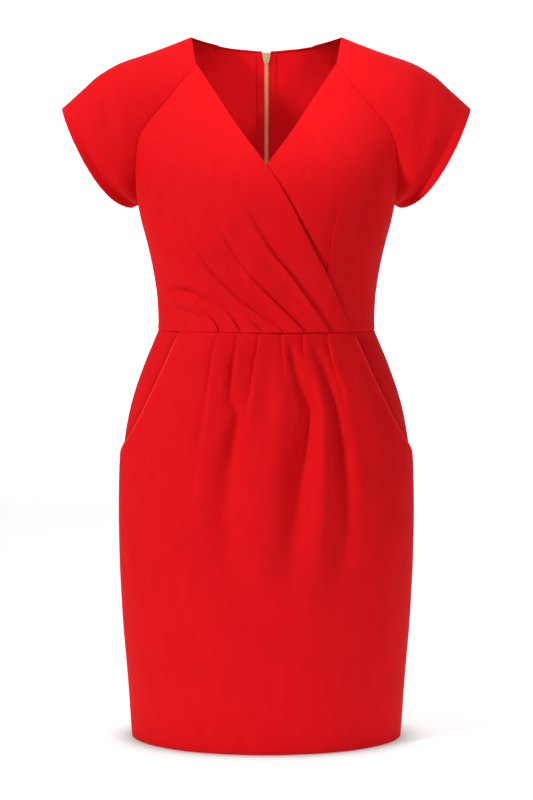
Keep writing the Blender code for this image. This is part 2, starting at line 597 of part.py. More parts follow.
def zip_tape():
    """Wearer's left tape, its columns from the outer edge to the chain."""
    rows = []
    for zip_z in zip_levels():
        row = []
        for x in (TAPE_OUT, CHAIN_HALF + 0.0002):
            z = zip_z(x)
            row.append(BACK_SKIN.at(BACK_SKIN.angle(x, z), np.float64(z), -TAPE_SET))
        rows.append(row)
    return np.array(rows)


def bar_along(name, mat, z_values, half, thick, set_in):
    """Flat bar that follows the centre back, its outer face set_in below the back's outer face."""
    points, faces = [], []
    for z in z_values:
        p = BACK_SKIN.base(np.float64(0), np.float64(z))
        n = BACK_SKIN.normal(p)
        for x, depth in ((half, set_in), (-half, set_in), (-half, set_in + thick), (half, set_in + thick)):
            points.append((p + np.array([x, 0, 0]) - n * depth).tolist())
    for i in range(len(z_values) - 1):
        a = 4 * i
        for k in range(4):
            faces.append((a + k, a + (k + 1) % 4, a + 4 + (k + 1) % 4, a + 4 + k))
    faces.append((3, 2, 1, 0))
    last = 4 * (len(z_values) - 1)
    faces.append((last, last + 1, last + 2, last + 3))
    mesh = bpy.data.meshes.new(name)
    mesh.from_pydata(points, [], faces)
    return add(name, mesh, mat, smooth=False)


def plate(name, outline, y_low, y_high):
    """Flat plate from an outline of (x, z) in millimetres, between two depths in millimetres."""
    points = [(x / 1000, y / 1000, z / 1000) for y in (y_low, y_high) for x, z in outline]
    count = len(outline)
    faces = [tuple(range(count)), tuple(range(2 * count - 1, count - 1, -1))]
    for i in range(count):
        j = (i + 1) % count
        faces.append((j, i, count + i, count + j))
    mesh = bpy.data.meshes.new(name)
    mesh.from_pydata(points, [], faces)
    return bpy.data.objects.new(name, mesh)


def profile(name, outline, half):
    """Block from an outline of (y, z) in millimetres, extruded to both sides."""
    points = [(x / 1000, y / 1000, z / 1000) for x in (-half, half) for y, z in outline]
    count = len(outline)
    faces = [tuple(range(count)), tuple(range(2 * count - 1, count - 1, -1))]
    for i in range(count):
        j = (i + 1) % count
        faces.append((j, i, count + i, count + j))
    mesh = bpy.data.meshes.new(name)
    mesh.from_pydata(points, [], faces)
    return bpy.data.objects.new(name, mesh)


def facing_out(obj):
    """Turns the faces of a closed helper outwards."""
    mesh = obj.data
    volume = 0.0
    mesh.calc_loop_triangles()
    for tri in mesh.loop_triangles:
        a, b, c = (mesh.vertices[i].co for i in tri.vertices)
        volume += a.dot(b.cross(c))
    if volume < 0:
        mesh.flip_normals()
    return obj


def combine(target, others, operation):
    for other in others:
        CUTTERS.objects.link(facing_out(other))
        other.hide_render = True
        other.display_type = "WIRE"
        other.parent = target.parent
        other.matrix_world = target.matrix_world
        step = target.modifiers.new(other.name, "BOOLEAN")
        step.operation = operation
        step.solver = "EXACT"
        step.object = other


def disc(radius, x, z, count=20):
    return [(x + radius * math.cos(2 * math.pi * i / count), z + radius * math.sin(2 * math.pi * i / count))
            for i in range(count)]


def slider_frame():
    """World matrix of the slider: z runs up the chain, y points out of the back."""
    p = BACK_SKIN.base(np.float64(0), np.float64(SLIDER_TOP))
    q = BACK_SKIN.base(np.float64(0), np.float64(SLIDER_TOP - 0.020))
    lean = math.atan2(q[1] - p[1], p[2] - q[2])
    return p, lean


def slider():
    plate_outline = [(-4.2, 0.0), (4.2, 0.0), (5.1, -1.6), (5.1, -5.0), (3.2, -13.0), (2.4, -13.8),
                     (-2.4, -13.8), (-3.2, -13.0), (-5.1, -5.0), (-5.1, -1.6)]
    rail = [(3.7, -1.8), (5.0, -1.8), (5.0, -5.0), (4.0, -9.0), (3.3, -9.0), (3.7, -5.0)]
    outer = facing_out(plate("zip_slider", plate_outline, -0.8, 0.4))
    outer.data.materials.append(METAL)
    DRESS.objects.link(outer)
    start, lean = slider_frame()
    outer.location = start.tolist()
    outer.rotation_euler = (lean, 0, 0)
    bpy.context.view_layer.update()
    inner = plate("slider_inner_plate", plate_outline, -5.0, -3.8)
    wedge = plate("slider_wedge", [(-1.7, -0.2), (1.7, -0.2), (0.9, -4.4), (-0.9, -4.4)], -4.2, -0.4)
    rails = []
    for label, sign in (("left", 1), ("right", -1)):
        shape = [(sign * x, z) for x, z in rail]
        rails.append(plate("slider_rail_out_" + label, shape, -1.45, -0.5))
        rails.append(plate("slider_rail_in_" + label, shape, -4.1, -3.15))
    arch = [(0.1, -5.0), (3.2, -5.0), (4.2, -5.8), (4.2, -9.2), (3.2, -10.0), (0.1, -10.0)]
    hole = [(0.4, -6.2), (2.9, -6.2), (2.9, -8.8), (0.4, -8.8)]
    bridge = facing_out(profile("slider_bridge", arch, 1.2))
    combine(outer, [inner, wedge] + rails + [bridge], "UNION")
    eye = plate("slider_eye", disc(1.1, 0, -11.7), -5.4, -3.4)
    combine(outer, [profile("slider_bridge_hole", hole, 2.0), eye], "DIFFERENCE")
    return outer


def pull():
    """Pull tab, its origin on the hinge; it hangs down along the chain."""
    outline = [(-2.6, 0.9), (2.6, 0.9), (3.2, 0.2), (3.2, -20.0), (2.6, -23.6), (1.2, -25.6),
               (-1.2, -25.6), (-2.6, -23.6), (-3.2, -20.0), (-3.2, 0.2)]
    window = [(-1.8, -0.7), (1.8, -0.7), (1.8, -4.0), (-1.8, -4.0)]
    tab = facing_out(plate("zip_pull", outline, -0.65, 0.65))
    tab.data.materials.append(METAL)
    DRESS.objects.link(tab)
    start, lean = slider_frame()
    turn = np.array([[1, 0, 0], [0, math.cos(lean), -math.sin(lean)], [0, math.sin(lean), math.cos(lean)]])
    tab.location = (start + turn @ np.array([0, HINGE_OUT, -HINGE_DOWN])).tolist()
    tab.rotation_euler = (lean, 0, 0)
    bpy.context.view_layer.update()
    slot = plate("pull_slot", [(-0.9, -17.5), (0.9, -17.5), (0.9, -21.5), (-0.9, -21.5)], -2.0, 2.0)
    combine(tab, [plate("pull_window", window, -2.0, 2.0), slot], "DIFFERENCE")
    return tab


# ------------------------------------------------------------------ build
for old in list(bpy.data.objects):
    bpy.data.objects.remove(old)
DRESS = bpy.data.collections.new("wrap_bodice_dress")
CUTTERS = bpy.data.collections.new("cutters")
bpy.context.scene.collection.children.link(DRESS)
bpy.context.scene.collection.children.link(CUTTERS)
CLOTH = material("red_crepe", RED, 0.0, 0.85)
TAPE = material("zip_tape", TAPE_RED, 0.0, 0.9)
METAL = material("zip_brass", BRASS, 1.0, 0.3)

sheet("bodice_front_right", bodice_over(), CLOTH)
sheet("bodice_front_left", bodice_under(), CLOTH)
sheet("bodice_back_left", bodice_back(), CLOTH)
sheet("bodice_back_right", mirrored(bodice_back()), CLOTH)
sheet("sleeve_left", sleeve(), CLOTH)
sheet("sleeve_right", mirrored(sleeve()), CLOTH)
sheet("skirt_front", skirt_front(), CLOTH)
sheet("skirt_back_left", skirt_back(), CLOTH)
sheet("skirt_back_right", mirrored(skirt_back()), CLOTH)
sheet("hip_yoke_left", hip_yoke(), CLOTH)
sheet("hip_yoke_right", mirrored(hip_yoke()), CLOTH)
sheet("zip_tape_left", zip_tape(), TAPE, TAPE_WALL)
sheet("zip_tape_right", mirrored(zip_tape()), TAPE, TAPE_WALL)
chain_levels = [at(0.0) for at in zip_levels()[:-1] if at(0.0) > ZIP_END - 0.001] + [SLIDER_TOP - 0.0052]
bar_along("zip_chain", METAL, chain_levels, CHAIN_HALF, CHAIN_THICK, TAPE_SET - 0.0007)
slider()
pull()
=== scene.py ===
"""Looks of a wrap-bodice dress with raglan cap sleeves, a pleated pencil skirt and a
centre-back zip. Metres, +Z up, the front faces -Y, the wearer's left is +X."""
import math

import bpy
import numpy as np
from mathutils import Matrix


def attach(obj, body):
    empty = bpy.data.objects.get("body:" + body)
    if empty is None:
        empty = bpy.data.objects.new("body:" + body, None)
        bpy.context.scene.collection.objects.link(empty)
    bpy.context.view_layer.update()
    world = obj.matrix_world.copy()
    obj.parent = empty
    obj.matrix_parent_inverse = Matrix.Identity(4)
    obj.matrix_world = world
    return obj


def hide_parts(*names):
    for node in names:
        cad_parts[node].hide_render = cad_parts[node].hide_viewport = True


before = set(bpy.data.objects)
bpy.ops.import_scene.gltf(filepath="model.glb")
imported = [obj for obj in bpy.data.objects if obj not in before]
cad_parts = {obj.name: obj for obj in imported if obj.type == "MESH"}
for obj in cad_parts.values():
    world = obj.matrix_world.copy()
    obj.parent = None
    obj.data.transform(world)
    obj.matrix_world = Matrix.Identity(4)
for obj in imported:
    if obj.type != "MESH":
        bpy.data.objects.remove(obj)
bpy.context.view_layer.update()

# ------------------------------------------------------------------ sizes
CLOTH = 0.0008           # crepe, one layer
TAPE_CLOTH = 0.0006
# Depth and radius of the cloth turned inside along an edge.
SEAM_TURN = (0.0080, 0.0005)
WRAP_TURN = (0.009, 0.0010)
ZIP_TURN = (0.007, 0.0006)
NECK_TURN = (0.004, 0.0007)
CUFF_TURN = (0.014, 0.0009)
POCKET_TURN = (0.010, 0.0009)
HEM_TURN = (0.030, 0.0010)
# Edges of a panel's grid: the axis it runs out along, and 0 for the first row or column.
BOTTOM, TOP, FIRST, LAST = (0, 0), (0, 1), (1, 0), (1, 1)
SEAM_DIP = 0.0009        # depth of the groove at a seam, at the waist seam, and its width
WAIST_DIP = 0.00150
SEAM_ROLL = 0.0008
EDGE_FADE = 0.012        # width over which folds die away at an edge
WAIST = -0.3786
ABOVE_WAIST = -0.3745    # nearest evenly spaced rows on each side of the waist seam
BELOW_WAIST = -0.383
UNDERARM = -0.2165
HEM = -0.9153
HEM_FOLD = HEM + 0.0004  # lowest row of the cloth's outer face
LAP = 0.0024             # how far the over panel stands out over the under panel
LAP_FROM = -0.060        # x from which it starts to
LAP_ROOM = 0.0050        # how far the under panel is set in where it is covered
LAP_FADE = 0.050
WRAP_LIFT = 0.0016       # how far the wrap edge lifts at the fullest part of the bust
BUST = -0.275
WRAP_HOLLOW = 0.0028     # dent of the under panel just past the wrap edge
V_POINT = -0.1714
OPENING = 0.0060         # half the gap between the centre-back edges along the zip
ZIP_EDGE = OPENING + 0.0006
ZIP_END = -0.555
YOKE_SET = 0.0035        # how far the hip yoke is set in at the pocket edge
BAG_SET = 0.0060         # and how much further behind the skirt front
POCKET_END = -0.545
MOUTH_STAND = 0.0014     # how far the pocket edge stands off, and how fast that fades
MOUTH_REACH = 0.0060
MOUTH_PAINTED_HIGHLIGHT = 0.0014     # width of the painted highlight along the pocket edge
MOUTH_PAINTED_SHADE = 0.0050     # and of the painted shade on the yoke beside it
TAPE_OUT = 0.0125        # x of a tape's outer and inner edge
TAPE_IN = 0.0002
TAPE_SET = 0.0018        # how far the tapes lie inside the back
TAPE_SEAM = 0.0085       # x of the stitches that hold a tape
CHAIN_SET = 0.0005       # how far inside the tapes the middle of the chain lies
SLIDER_TOP = -0.0135
TOOTH_PITCH = 0.00212
STITCH_PITCH = 0.0026    # of the rows that hold the tapes
STITCH_LENGTH = 0.0021
STITCH_THICK = 0.00020
STITCH_SIDES = 4
UNDERARM_STATION = 0.93  # share of a sleeve from neck to cuff at which its raglan seams meet
CUFF_UNDER = (0.1745, -0.2205)  # x and z of the cuff's lowest point


def table(columns, *rows):
    """Named columns of a table of rows."""
    return {name: np.array([row[i] for row in rows], float) for i, name in enumerate(columns.split())}


# The body's outline at each level: half width, squareness of the round and depth to each side.
SIDE = table(
    "z half",
    (-0.2165, 0.1668), (-0.2361, 0.1629), (-0.2621, 0.1560), (-0.2881, 0.1499),
    (-0.3142, 0.1452), (-0.3403, 0.1421), (-0.3665, 0.1412), (-0.3786, 0.1420),
    (-0.3926, 0.1472), (-0.4136, 0.1564), (-0.4346, 0.1650), (-0.4556, 0.1730),
    (-0.4766, 0.1798), (-0.4977, 0.1850), (-0.5188, 0.1890), (-0.5399, 0.1920),
    (-0.5610, 0.1934), (-0.6193, 0.1942), (-0.6830, 0.1932), (-0.7257, 0.1914),
    (-0.7684, 0.1890), (-0.8112, 0.1855), (-0.8541, 0.1822), (-0.8971, 0.1795),
    (-0.9153, 0.1780))
ROUND = table("z power", (0.0, 2.4), (-0.2165, 2.4), (-0.3786, 2.3), (-0.56, 2.2), (-0.9153, 2.0))
FRONT = table(
    "z depth",
    (-0.020, 0.0220), (-0.036, 0.0376), (-0.0615, 0.0500), (-0.090, 0.0640),
    (-0.116, 0.0780), (-0.146, 0.0940), (-0.172, 0.1070), (-0.200, 0.1145),
    (-0.230, 0.1180), (-0.260, 0.1185), (-0.300, 0.1130), (-0.340, 0.1050),
    (-0.3786, 0.1000), (-0.420, 0.1060), (-0.470, 0.1140), (-0.530, 0.1200),
    (-0.600, 0.1240), (-0.680, 0.1250), (-0.760, 0.1235), (-0.840, 0.1215),
    (-0.9153, 0.1200))
BACK = table(
    "z depth",
    (0.0, 0.0678), (-0.0137, 0.0720), (-0.0500, 0.0828), (-0.085, 0.0905),
    (-0.120, 0.0960), (-0.160, 0.0990), (-0.210, 0.0990), (-0.270, 0.0940),
    (-0.330, 0.0900), (-0.3786, 0.0910), (-0.420, 0.1040), (-0.470, 0.1210),
    (-0.530, 0.1330), (-0.600, 0.1350), (-0.680, 0.1320), (-0.760, 0.1270),
    (-0.840, 0.1230), (-0.9153, 0.1200))
# Seams and edges of the wearer's left, but for the wrap edge, which starts on the right.
RAGLAN_FRONT = table(
    "z x y",
    (-0.0360, 0.0905, 0.030), (-0.0615, 0.1100, 0.040), (-0.0900, 0.1330, 0.046),
    (-0.1160, 0.1545, 0.050), (-0.1325, 0.1630, 0.051), (-0.1465, 0.1660, 0.050),
    (-0.1720, 0.1680, 0.045), (-0.1950, 0.1682, 0.035), (-0.2100, 0.1675, 0.020),
    (-0.2165, 0.1668, 0.000))
RAGLAN_BACK = table(
    "z x y",
    (-0.0065, 0.0670, 0.043), (-0.0350, 0.0910, 0.056), (-0.0650, 0.1120, 0.064),
    (-0.0950, 0.1310, 0.066), (-0.1200, 0.1450, 0.063), (-0.1500, 0.1570, 0.056),
    (-0.1800, 0.1640, 0.045), (-0.2000, 0.1668, 0.030), (-0.2100, 0.1670, 0.016),
    (-0.2165, 0.1668, 0.000))
BACK_NECK = table("x z", (0.0, -0.0141), (0.0084, -0.0137), (0.0216, -0.0120), (0.0453, -0.0095),
                  (0.0670, -0.0065))
WRAP = table(
    "z x",
    (-0.0360, -0.0905), (-0.0738, -0.0660), (-0.1231, -0.0336), (-0.1714, 0.0018),
    (-0.1944, 0.0171), (-0.2214, 0.0321), (-0.2489, 0.0459), (-0.2761, 0.0600),
    (-0.3051, 0.0757), (-0.3360, 0.0895), (-0.3625, 0.1006), (-0.3786, 0.1060))
POCKET = table(
    "z x",
    (-0.3786, 0.1115), (-0.4120, 0.1262), (-0.4400, 0.1390), (-0.4670, 0.1520),
    (-0.4970, 0.1672), (-0.5160, 0.1782), (-0.5300, 0.1868), (-0.5450, 0.1926))
# Inner edge of the pocket bag, and how far its outer edge lies from the side seam.
BAG = table("z inner outer", (-0.3786, 0.1000, 0.0), (-0.460, 0.108, 0.0), (-0.520, 0.112, 0.0),
            (-0.545, 0.115, 0.000), (-0.556, 0.118, 0.003), (-0.575, 0.124, 0.012),
            (-0.600, 0.135, 0.030))


# A fold is a step in the cloth: its line (z, x) from the waist seam, then (z, height, half
# width) with the last two in mm.
def drape(waist_x, line, heights):
    return (table("z x", (WAIST, waist_x), *line),
            table("z height soft", (WAIST, 0.3, 0.9), (-0.3768, 1.2, 0.9), *heights))


def pleat(waist_x, line, heights):
    return (table("z x", (WAIST, waist_x), *line),
            table("z height soft", (WAIST, 0.3, 0.9), (-0.3805, 1.4, 0.9), *heights))


def crease(*rows):
    """Soft trough or ridge: its path, height in mm (below 0 for a trough) and half width in mm."""
    return table("x z height spread", *rows)


# Over panel, from the wearer's right to the wrap edge.
DRAPES = (
    drape(-0.0600, ((-0.3635, -0.0671), (-0.3521, -0.0802), (-0.3436, -0.0949), (-0.3343, -0.1098),
                    (-0.3000, -0.1250), (-0.2865, -0.1310)),
          ((-0.374, 1.6, 1.0), (-0.366, 2.2, 1.2), (-0.355, 2.6, 2.4), (-0.343, 1.8, 4.0),
           (-0.325, 0.0, 5.0))),
    drape(-0.0330, ((-0.3633, -0.0423), (-0.3518, -0.0509), (-0.3372, -0.0660), (-0.3230, -0.0860),
                    (-0.3000, -0.1070), (-0.2865, -0.1150)),
          ((-0.374, 1.8, 1.0), (-0.364, 2.8, 1.2), (-0.350, 3.2, 2.6), (-0.333, 3.0, 3.6),
           (-0.315, 0.8, 5.0), (-0.303, 0.0, 6.0))),
    drape(-0.0060, ((-0.3748, -0.0090), (-0.3618, -0.0220), (-0.3500, -0.0340), (-0.3300, -0.0580),
                    (-0.3000, -0.0870), (-0.2865, -0.0970)),
          ((-0.374, 1.6, 1.0), (-0.366, 1.8, 1.4), (-0.352, 0.0, 3.0))),
    drape(0.0210, ((-0.3742, 0.0173), (-0.3631, 0.0011), (-0.3501, -0.0161), (-0.3356, -0.0364),
                   (-0.3166, -0.0560), (-0.2991, -0.0730), (-0.2740, -0.0905), (-0.2480, -0.1050),
                   (-0.2300, -0.1150)),
          ((-0.374, 1.8, 1.0), (-0.360, 3.4, 1.3), (-0.345, 4.4, 2.2), (-0.320, 4.0, 3.4),
           (-0.290, 2.6, 5.0), (-0.258, 1.2, 7.0), (-0.235, 0.0, 8.0))),
    drape(0.0478, ((-0.3737, 0.0439), (-0.3589, 0.0302), (-0.3444, 0.0156), (-0.3266, -0.0016),
                   (-0.3060, -0.0220), (-0.2850, -0.0390), (-0.2600, -0.0540), (-0.2330, -0.0680),
                   (-0.2150, -0.0760)),
          ((-0.374, 2.0, 1.0), (-0.355, 3.6, 1.2), (-0.335, 4.2, 1.8), (-0.310, 3.6, 3.0),
           (-0.280, 2.6, 4.6), (-0.250, 1.4, 6.5), (-0.218, 0.0, 8.0))),
    drape(0.0805, ((-0.3741, 0.0770), (-0.3465, 0.0586), (-0.3204, 0.0399), (-0.2973, 0.0232),
                   (-0.2776, 0.0080), (-0.2548, -0.0071), (-0.2330, -0.0200), (-0.2050, -0.0340)),
          ((-0.374, 2.0, 1.0), (-0.345, 4.0, 1.1), (-0.300, 4.6, 1.5), (-0.270, 3.6, 2.8),
           (-0.240, 2.0, 5.0), (-0.2080, 0.0, 8.0))),
)
# Skirt front, from the wearer's right to left.
PLEATS = (
    pleat(-0.0615, ((-0.4113, -0.0682), (-0.4353, -0.0717), (-0.4712, -0.0766), (-0.5437, -0.0855),
                    (-0.6086, -0.0928), (-0.9153, -0.1000)),
          ((-0.384, 2.4, 1.0), (-0.405, 4.0, 1.3), (-0.430, 4.4, 2.2), (-0.480, 3.8, 3.6),
           (-0.550, 2.4, 5.5), (-0.640, 0.0, 8.0))),
    pleat(-0.0354, ((-0.3988, -0.0378), (-0.4226, -0.0414), (-0.4464, -0.0438), (-0.4614, -0.0450),
                    (-0.5186, -0.0500), (-0.6200, -0.0600), (-0.9153, -0.0640)),
          ((-0.384, 2.6, 1.0), (-0.400, 4.2, 1.1), (-0.425, 5.0, 1.6), (-0.455, 3.4, 3.0),
           (-0.495, 0.0, 5.0))),
    pleat(-0.0082, ((-0.3987, -0.0112), (-0.4200, -0.0149), (-0.4420, -0.0179), (-0.4635, -0.0209),
                    (-0.5026, -0.0270), (-0.6200, -0.0300), (-0.9153, -0.0300)),
          ((-0.384, 2.6, 1.0), (-0.400, 4.2, 1.1), (-0.430, 4.6, 1.8), (-0.470, 3.2, 3.2),
           (-0.525, 0.0, 6.0))),
    pleat(0.0196, ((-0.4150, 0.0223), (-0.4700, 0.0250), (-0.6200, 0.0200), (-0.9153, 0.0100)),
          ((-0.384, 2.6, 1.0), (-0.402, 3.4, 1.1), (-0.418, 2.0, 1.8), (-0.440, 0.0, 3.0))),
    pleat(0.0468, ((-0.3976, 0.0474), (-0.4700, 0.0540), (-0.5500, 0.0530), (-0.9153, 0.0450)),
          ((-0.384, 2.4, 1.0), (-0.396, 2.6, 1.1), (-0.420, 0.0, 2.4))),
    pleat(0.0779, ((-0.3994, 0.0815), (-0.4176, 0.0857), (-0.4359, 0.0918), (-0.4523, 0.0978),
                   (-0.5200, 0.1030), (-0.6200, 0.1040), (-0.9153, 0.0970)),
          ((-0.384, 2.6, 1.0), (-0.400, 4.2, 1.1), (-0.425, 3.8, 1.6), (-0.450, 2.4, 3.0),
           (-0.490, 0.0, 5.0))),
)
DART = (
    (table("z x", (-0.3786, 0.0700), (-0.3004, 0.0765), (-0.2822, 0.0805), (-0.2549, 0.0850),
                  (-0.2276, 0.0909), (-0.2165, 0.0930)),
     table("z height soft", (-0.3100, 0.8, 0.7), (-0.2822, 1.2, 0.7), (-0.2549, 1.2, 0.7),
                            (-0.2350, 1.1, 0.7), (-0.2240, 0.6, 0.8), (-0.2180, 0.0, 1.0))),
)
SKIRT_CREASES = (
    crease((-0.0440, -0.4000, 0.0, 3.7), (-0.0475, -0.4226, -4.1, 3.7), (-0.0490, -0.4500, -5.1, 4.3),
           (-0.0400, -0.4826, -8.8, 6.1), (-0.0471, -0.5186, -11.3, 8.1), (-0.0552, -0.5506, -11.6, 10.2),
           (-0.0610, -0.6236, -7.0, 12.3), (-0.0612, -0.7160, 0.0, 14.8)),
    crease((0.0270, -0.3860, 0.0, 3.1), (0.0300, -0.4050, -4.7, 3.7), (0.0340, -0.4226, -6.3, 4.3),
           (0.0395, -0.4409, -7.5, 5), (0.0510, -0.4709, -10.5, 5.9), (0.0475, -0.5028, -12.1, 7.1),
           (0.0412, -0.5429, -12.3, 9.3), (0.0299, -0.6231, -8.2, 11.5), (0.0135, -0.7177, 0.0, 14.8)),
    crease((0.0560, -0.3860, 0.0, 3.1), (0.0620, -0.4053, -4.0, 3.7), (0.0711, -0.4230, -5.7, 4.3),
           (0.0780, -0.4468, -7.2, 4.3), (0.0818, -0.4792, -8.5, 5.3), (0.0849, -0.5273, -10.4, 7.5),
           (0.0881, -0.5754, -8.6, 9.8), (0.0916, -0.6652, -4.5, 11.5), (0.0920, -0.7300, 0.0, 13.1)),
    crease((0.0520, -0.4100, 0.0, 4.3), (0.0620, -0.4500, 4.3, 5), (0.0680, -0.4792, 7.4, 6),
           (0.0650, -0.5400, 10.6, 9.2), (0.0602, -0.6012, 8.6, 12.3), (0.0476, -0.6798, 4.9, 14.8),
           (0.0347, -0.7578, 0.0, 18)),
    crease((0.0120, -0.4200, 0.0, 6.2), (0.0120, -0.4700, 5.3, 9.1), (-0.0040, -0.5400, 8.4, 13.9),
           (-0.0150, -0.6400, 5.5, 19.7), (-0.0200, -0.7400, 0.0, 23)),
    crease((-0.0470, -0.4500, 0.0, 1.9), (-0.0440, -0.4700, -2.1, 2.3), (-0.0389, -0.4826, 0.0, 2.7)),
    crease((-0.0021, -0.4700, 0.0, 3.3), (-0.0021, -0.5264, -2.2, 5.2), (-0.0069, -0.5584, 0.0, 6.4)),
    crease((-0.0910, -0.4700, 0.0, 3.9), (-0.0893, -0.5048, -2.3, 5), (-0.1055, -0.5406, 0.0, 6.9)),
    crease((-0.1180, -0.4000, 0.0, 3.7), (-0.1200, -0.4500, 1.5, 5.6), (-0.1330, -0.5300, 0.0, 9)),
    crease((0.1050, -0.4800, 0.0, 4), (0.1120, -0.5400, 3.1, 6.9), (0.1180, -0.6400, 0.0, 11.5)),
    crease((-0.1500, -0.5600, 0.0, 8), (-0.1450, -0.6800, 3.2, 13.1), (-0.1380, -0.8300, 0.0, 16.4)),
    crease((0.1480, -0.5900, 0.0, 8.2), (0.1420, -0.7000, 2.8, 13.1), (0.1400, -0.8400, 0.0, 16.4)),
)
DRAPE_CREASES = (
    crease((0.0180, -0.3720, 0.0, 3), (0.0040, -0.3580, -4.1, 3.8), (-0.0150, -0.3380, -7.2, 5.2),
           (-0.0340, -0.3160, -6.2, 6), (-0.0520, -0.2900, -2.8, 7.5), (-0.0660, -0.2620, 0.0, 9)),
    crease((-0.1260, -0.3330, 0.0, 4.4), (-0.1160, -0.3290, -5.0, 4.0), (-0.1000, -0.3310, -8.0, 3.8),
           (-0.0780, -0.3410, -8.0, 4.0), (-0.0580, -0.3560, -4.4, 3.8), (-0.0460, -0.3700, 0.0, 3.4)),
    crease((-0.1260, -0.3200, 0.0, 5.0), (-0.1040, -0.3190, 3.0, 5.0), (-0.0760, -0.3290, 3.2, 5.0),
           (-0.0520, -0.3440, 0.0, 5.0)),
    crease((-0.1440, -0.3440, 0.0, 3.4), (-0.1330, -0.3480, -5.6, 3.4), (-0.1180, -0.3520, -5.8, 3.4),
           (-0.1000, -0.3560, -5.4, 3.2), (-0.0820, -0.3630, -3.0, 2.8), (-0.0700, -0.3740, 0.0, 2.2)),
    crease((0.0640, -0.3650, 0.0, 3), (0.0440, -0.3420, -3.8, 3.8), (0.0240, -0.3180, -4.6, 5.2),
           (0.0040, -0.2940, -3.4, 6.8), (-0.0160, -0.2660, 0.0, 8.2)),
    crease((-0.1290, -0.3420, 0.0, 4.0), (-0.1120, -0.3430, 2.6, 4.0), (-0.0900, -0.3490, 0.0, 4.0)),
    crease((-0.0300, -0.2200, 0.0, 6.8), (-0.0500, -0.2500, 2.2, 9), (-0.0800, -0.2900, 0.0, 9)),
    crease((-0.1560, -0.2280, 0.0, 3.8), (-0.1340, -0.2380, -1.2, 5.2), (-0.1080, -0.2460, 0.0, 6.8)),
)
UNDER_CREASES = (
    crease((0.1120, -0.2100, 0.0, 8), (0.1060, -0.2450, -2.2, 9), (0.1020, -0.2800, -2.6, 9),
           (0.1030, -0.3150, -1.6, 9), (0.1080, -0.3500, 0.0, 9)),
    crease((0.1560, -0.228, 0.0, 5), (0.1350, -0.238, -0.8, 7), (0.1100, -0.247, 0.0, 9)),
    crease((0.1400, -0.330, 0.0, 6), (0.1240, -0.345, 0.8, 7), (0.1050, -0.356, 0.0, 8)),
)
BACK_CREASES = (
    crease((0.1380, -0.3560, 0.0, 5), (0.1080, -0.3500, 2.5, 6), (0.0720, -0.3520, 0.0, 8)),
    crease((0.1400, -0.3340, 0.0, 5), (0.1050, -0.3270, -2.3, 6), (0.0620, -0.3330, 0.0, 8)),
    crease((0.1500, -0.2350, 0.0, 6), (0.1220, -0.2500, -2.3, 8), (0.0900, -0.2700, 0.0, 10)),
    crease((0.0300, -0.3650, 0.0, 5), (0.0480, -0.3540, 1.8, 7), (0.0640, -0.3380, 0.0, 8)),
    crease((0.1180, -0.1500, 0.0, 9), (0.1060, -0.1900, 2.1, 11), (0.0980, -0.2300, 0.0, 12)),
)
SKIRT_BACK_CREASES = (
    crease((0.0560, -0.3860, 0.0, 5), (0.0600, -0.4150, 3.2, 6), (0.0640, -0.4600, 0.0, 9)),
    crease((0.0200, -0.5700, 0.0, 7), (0.0420, -0.6050, 2.8, 10), (0.0760, -0.6300, 0.0, 14)),
    crease((0.0260, -0.6300, 0.0, 8), (0.0500, -0.6600, -2.8, 12), (0.0860, -0.6800, 0.0, 16)),
    crease((0.1500, -0.4700, 0.0, 8), (0.1350, -0.5300, 2.3, 12), (0.1300, -0.6100, 0.0, 16)),
    crease((0.0900, -0.7000, 0.0, 12), (0.0840, -0.7800, 2.5, 18), (0.0820, -0.8800, 0.0, 22)),
)
# By share of the way from neck to cuff: the top line of the sleeve, and the reach and direction
# in which its round leaves the seam (h0) and meets the top line (h1).
SLEEVE = table(
    "v ridge_x ridge_z h0x h0y h0z h1x h1y h1z",
    (0.00, 0.0975, 0.0000, 0.0023, 0.010, 0.012, -0.001, -0.012, -0.006),
    (0.12, 0.1237, -0.0103, 0.0060, 0.004, 0.016, -0.001, -0.020, -0.006),
    (0.30, 0.1568, -0.0225, 0.0140, -0.003, 0.022, 0.000, -0.034, -0.007),
    (0.50, 0.1920, -0.0352, 0.0240, -0.008, 0.024, 0.001, -0.046, -0.009),
    (0.65, 0.2184, -0.0501, 0.0300, -0.018, 0.016, 0.000, -0.052, -0.010),
    (0.80, 0.2370, -0.0668, 0.0360, -0.036, 0.006, -0.002, -0.058, -0.010),
    (0.93, 0.2560, -0.0838, 0.0400, -0.062, 0.001, -0.003, -0.062, -0.010),
    (1.00, 0.2650, -0.0918, 0.0413, -0.072, 0.000, -0.004, -0.064, -0.009))
# What the back half adds to h0 and h1 near the neck.
BACK_NECK_EASE = table(
    "v h0x h0y h0z h1x h1y h1z",
    (0.00, 0.0082, 0.0030, -0.0100, -0.003, -0.002, 0.0048),
    (0.12, 0.0, 0.0, 0.0, -0.002, 0.0, 0.002),
    (0.30, 0.0, 0.0, 0.0, 0.0, 0.0, 0.0),
    (1.00, 0.0, 0.0, 0.0, 0.0, 0.0, 0.0))
# Soft folds of a sleeve: share of the way from neck to cuff (v), share of the half round from
# the seam (t), front (-1) or back, and height in mm.
SLEEVE_FOLDS = table(
    "v t facing height v_spread t_spread",
    (0.62, 0.55, -1, -2.4, 0.08, 0.28), (0.80, 0.40, -1, 2.0, 0.06, 0.25),
    (0.90, 0.18, -1, -2.8, 0.07, 0.12), (0.70, 0.20, -1, 1.6, 0.10, 0.12),
    (0.60, 0.50, 1, -2.4, 0.09, 0.26), (0.82, 0.42, 1, 2.0, 0.06, 0.25),
    (0.90, 0.18, 1, -2.6, 0.07, 0.12), (0.45, 0.75, 1, 1.2, 0.15, 0.30))


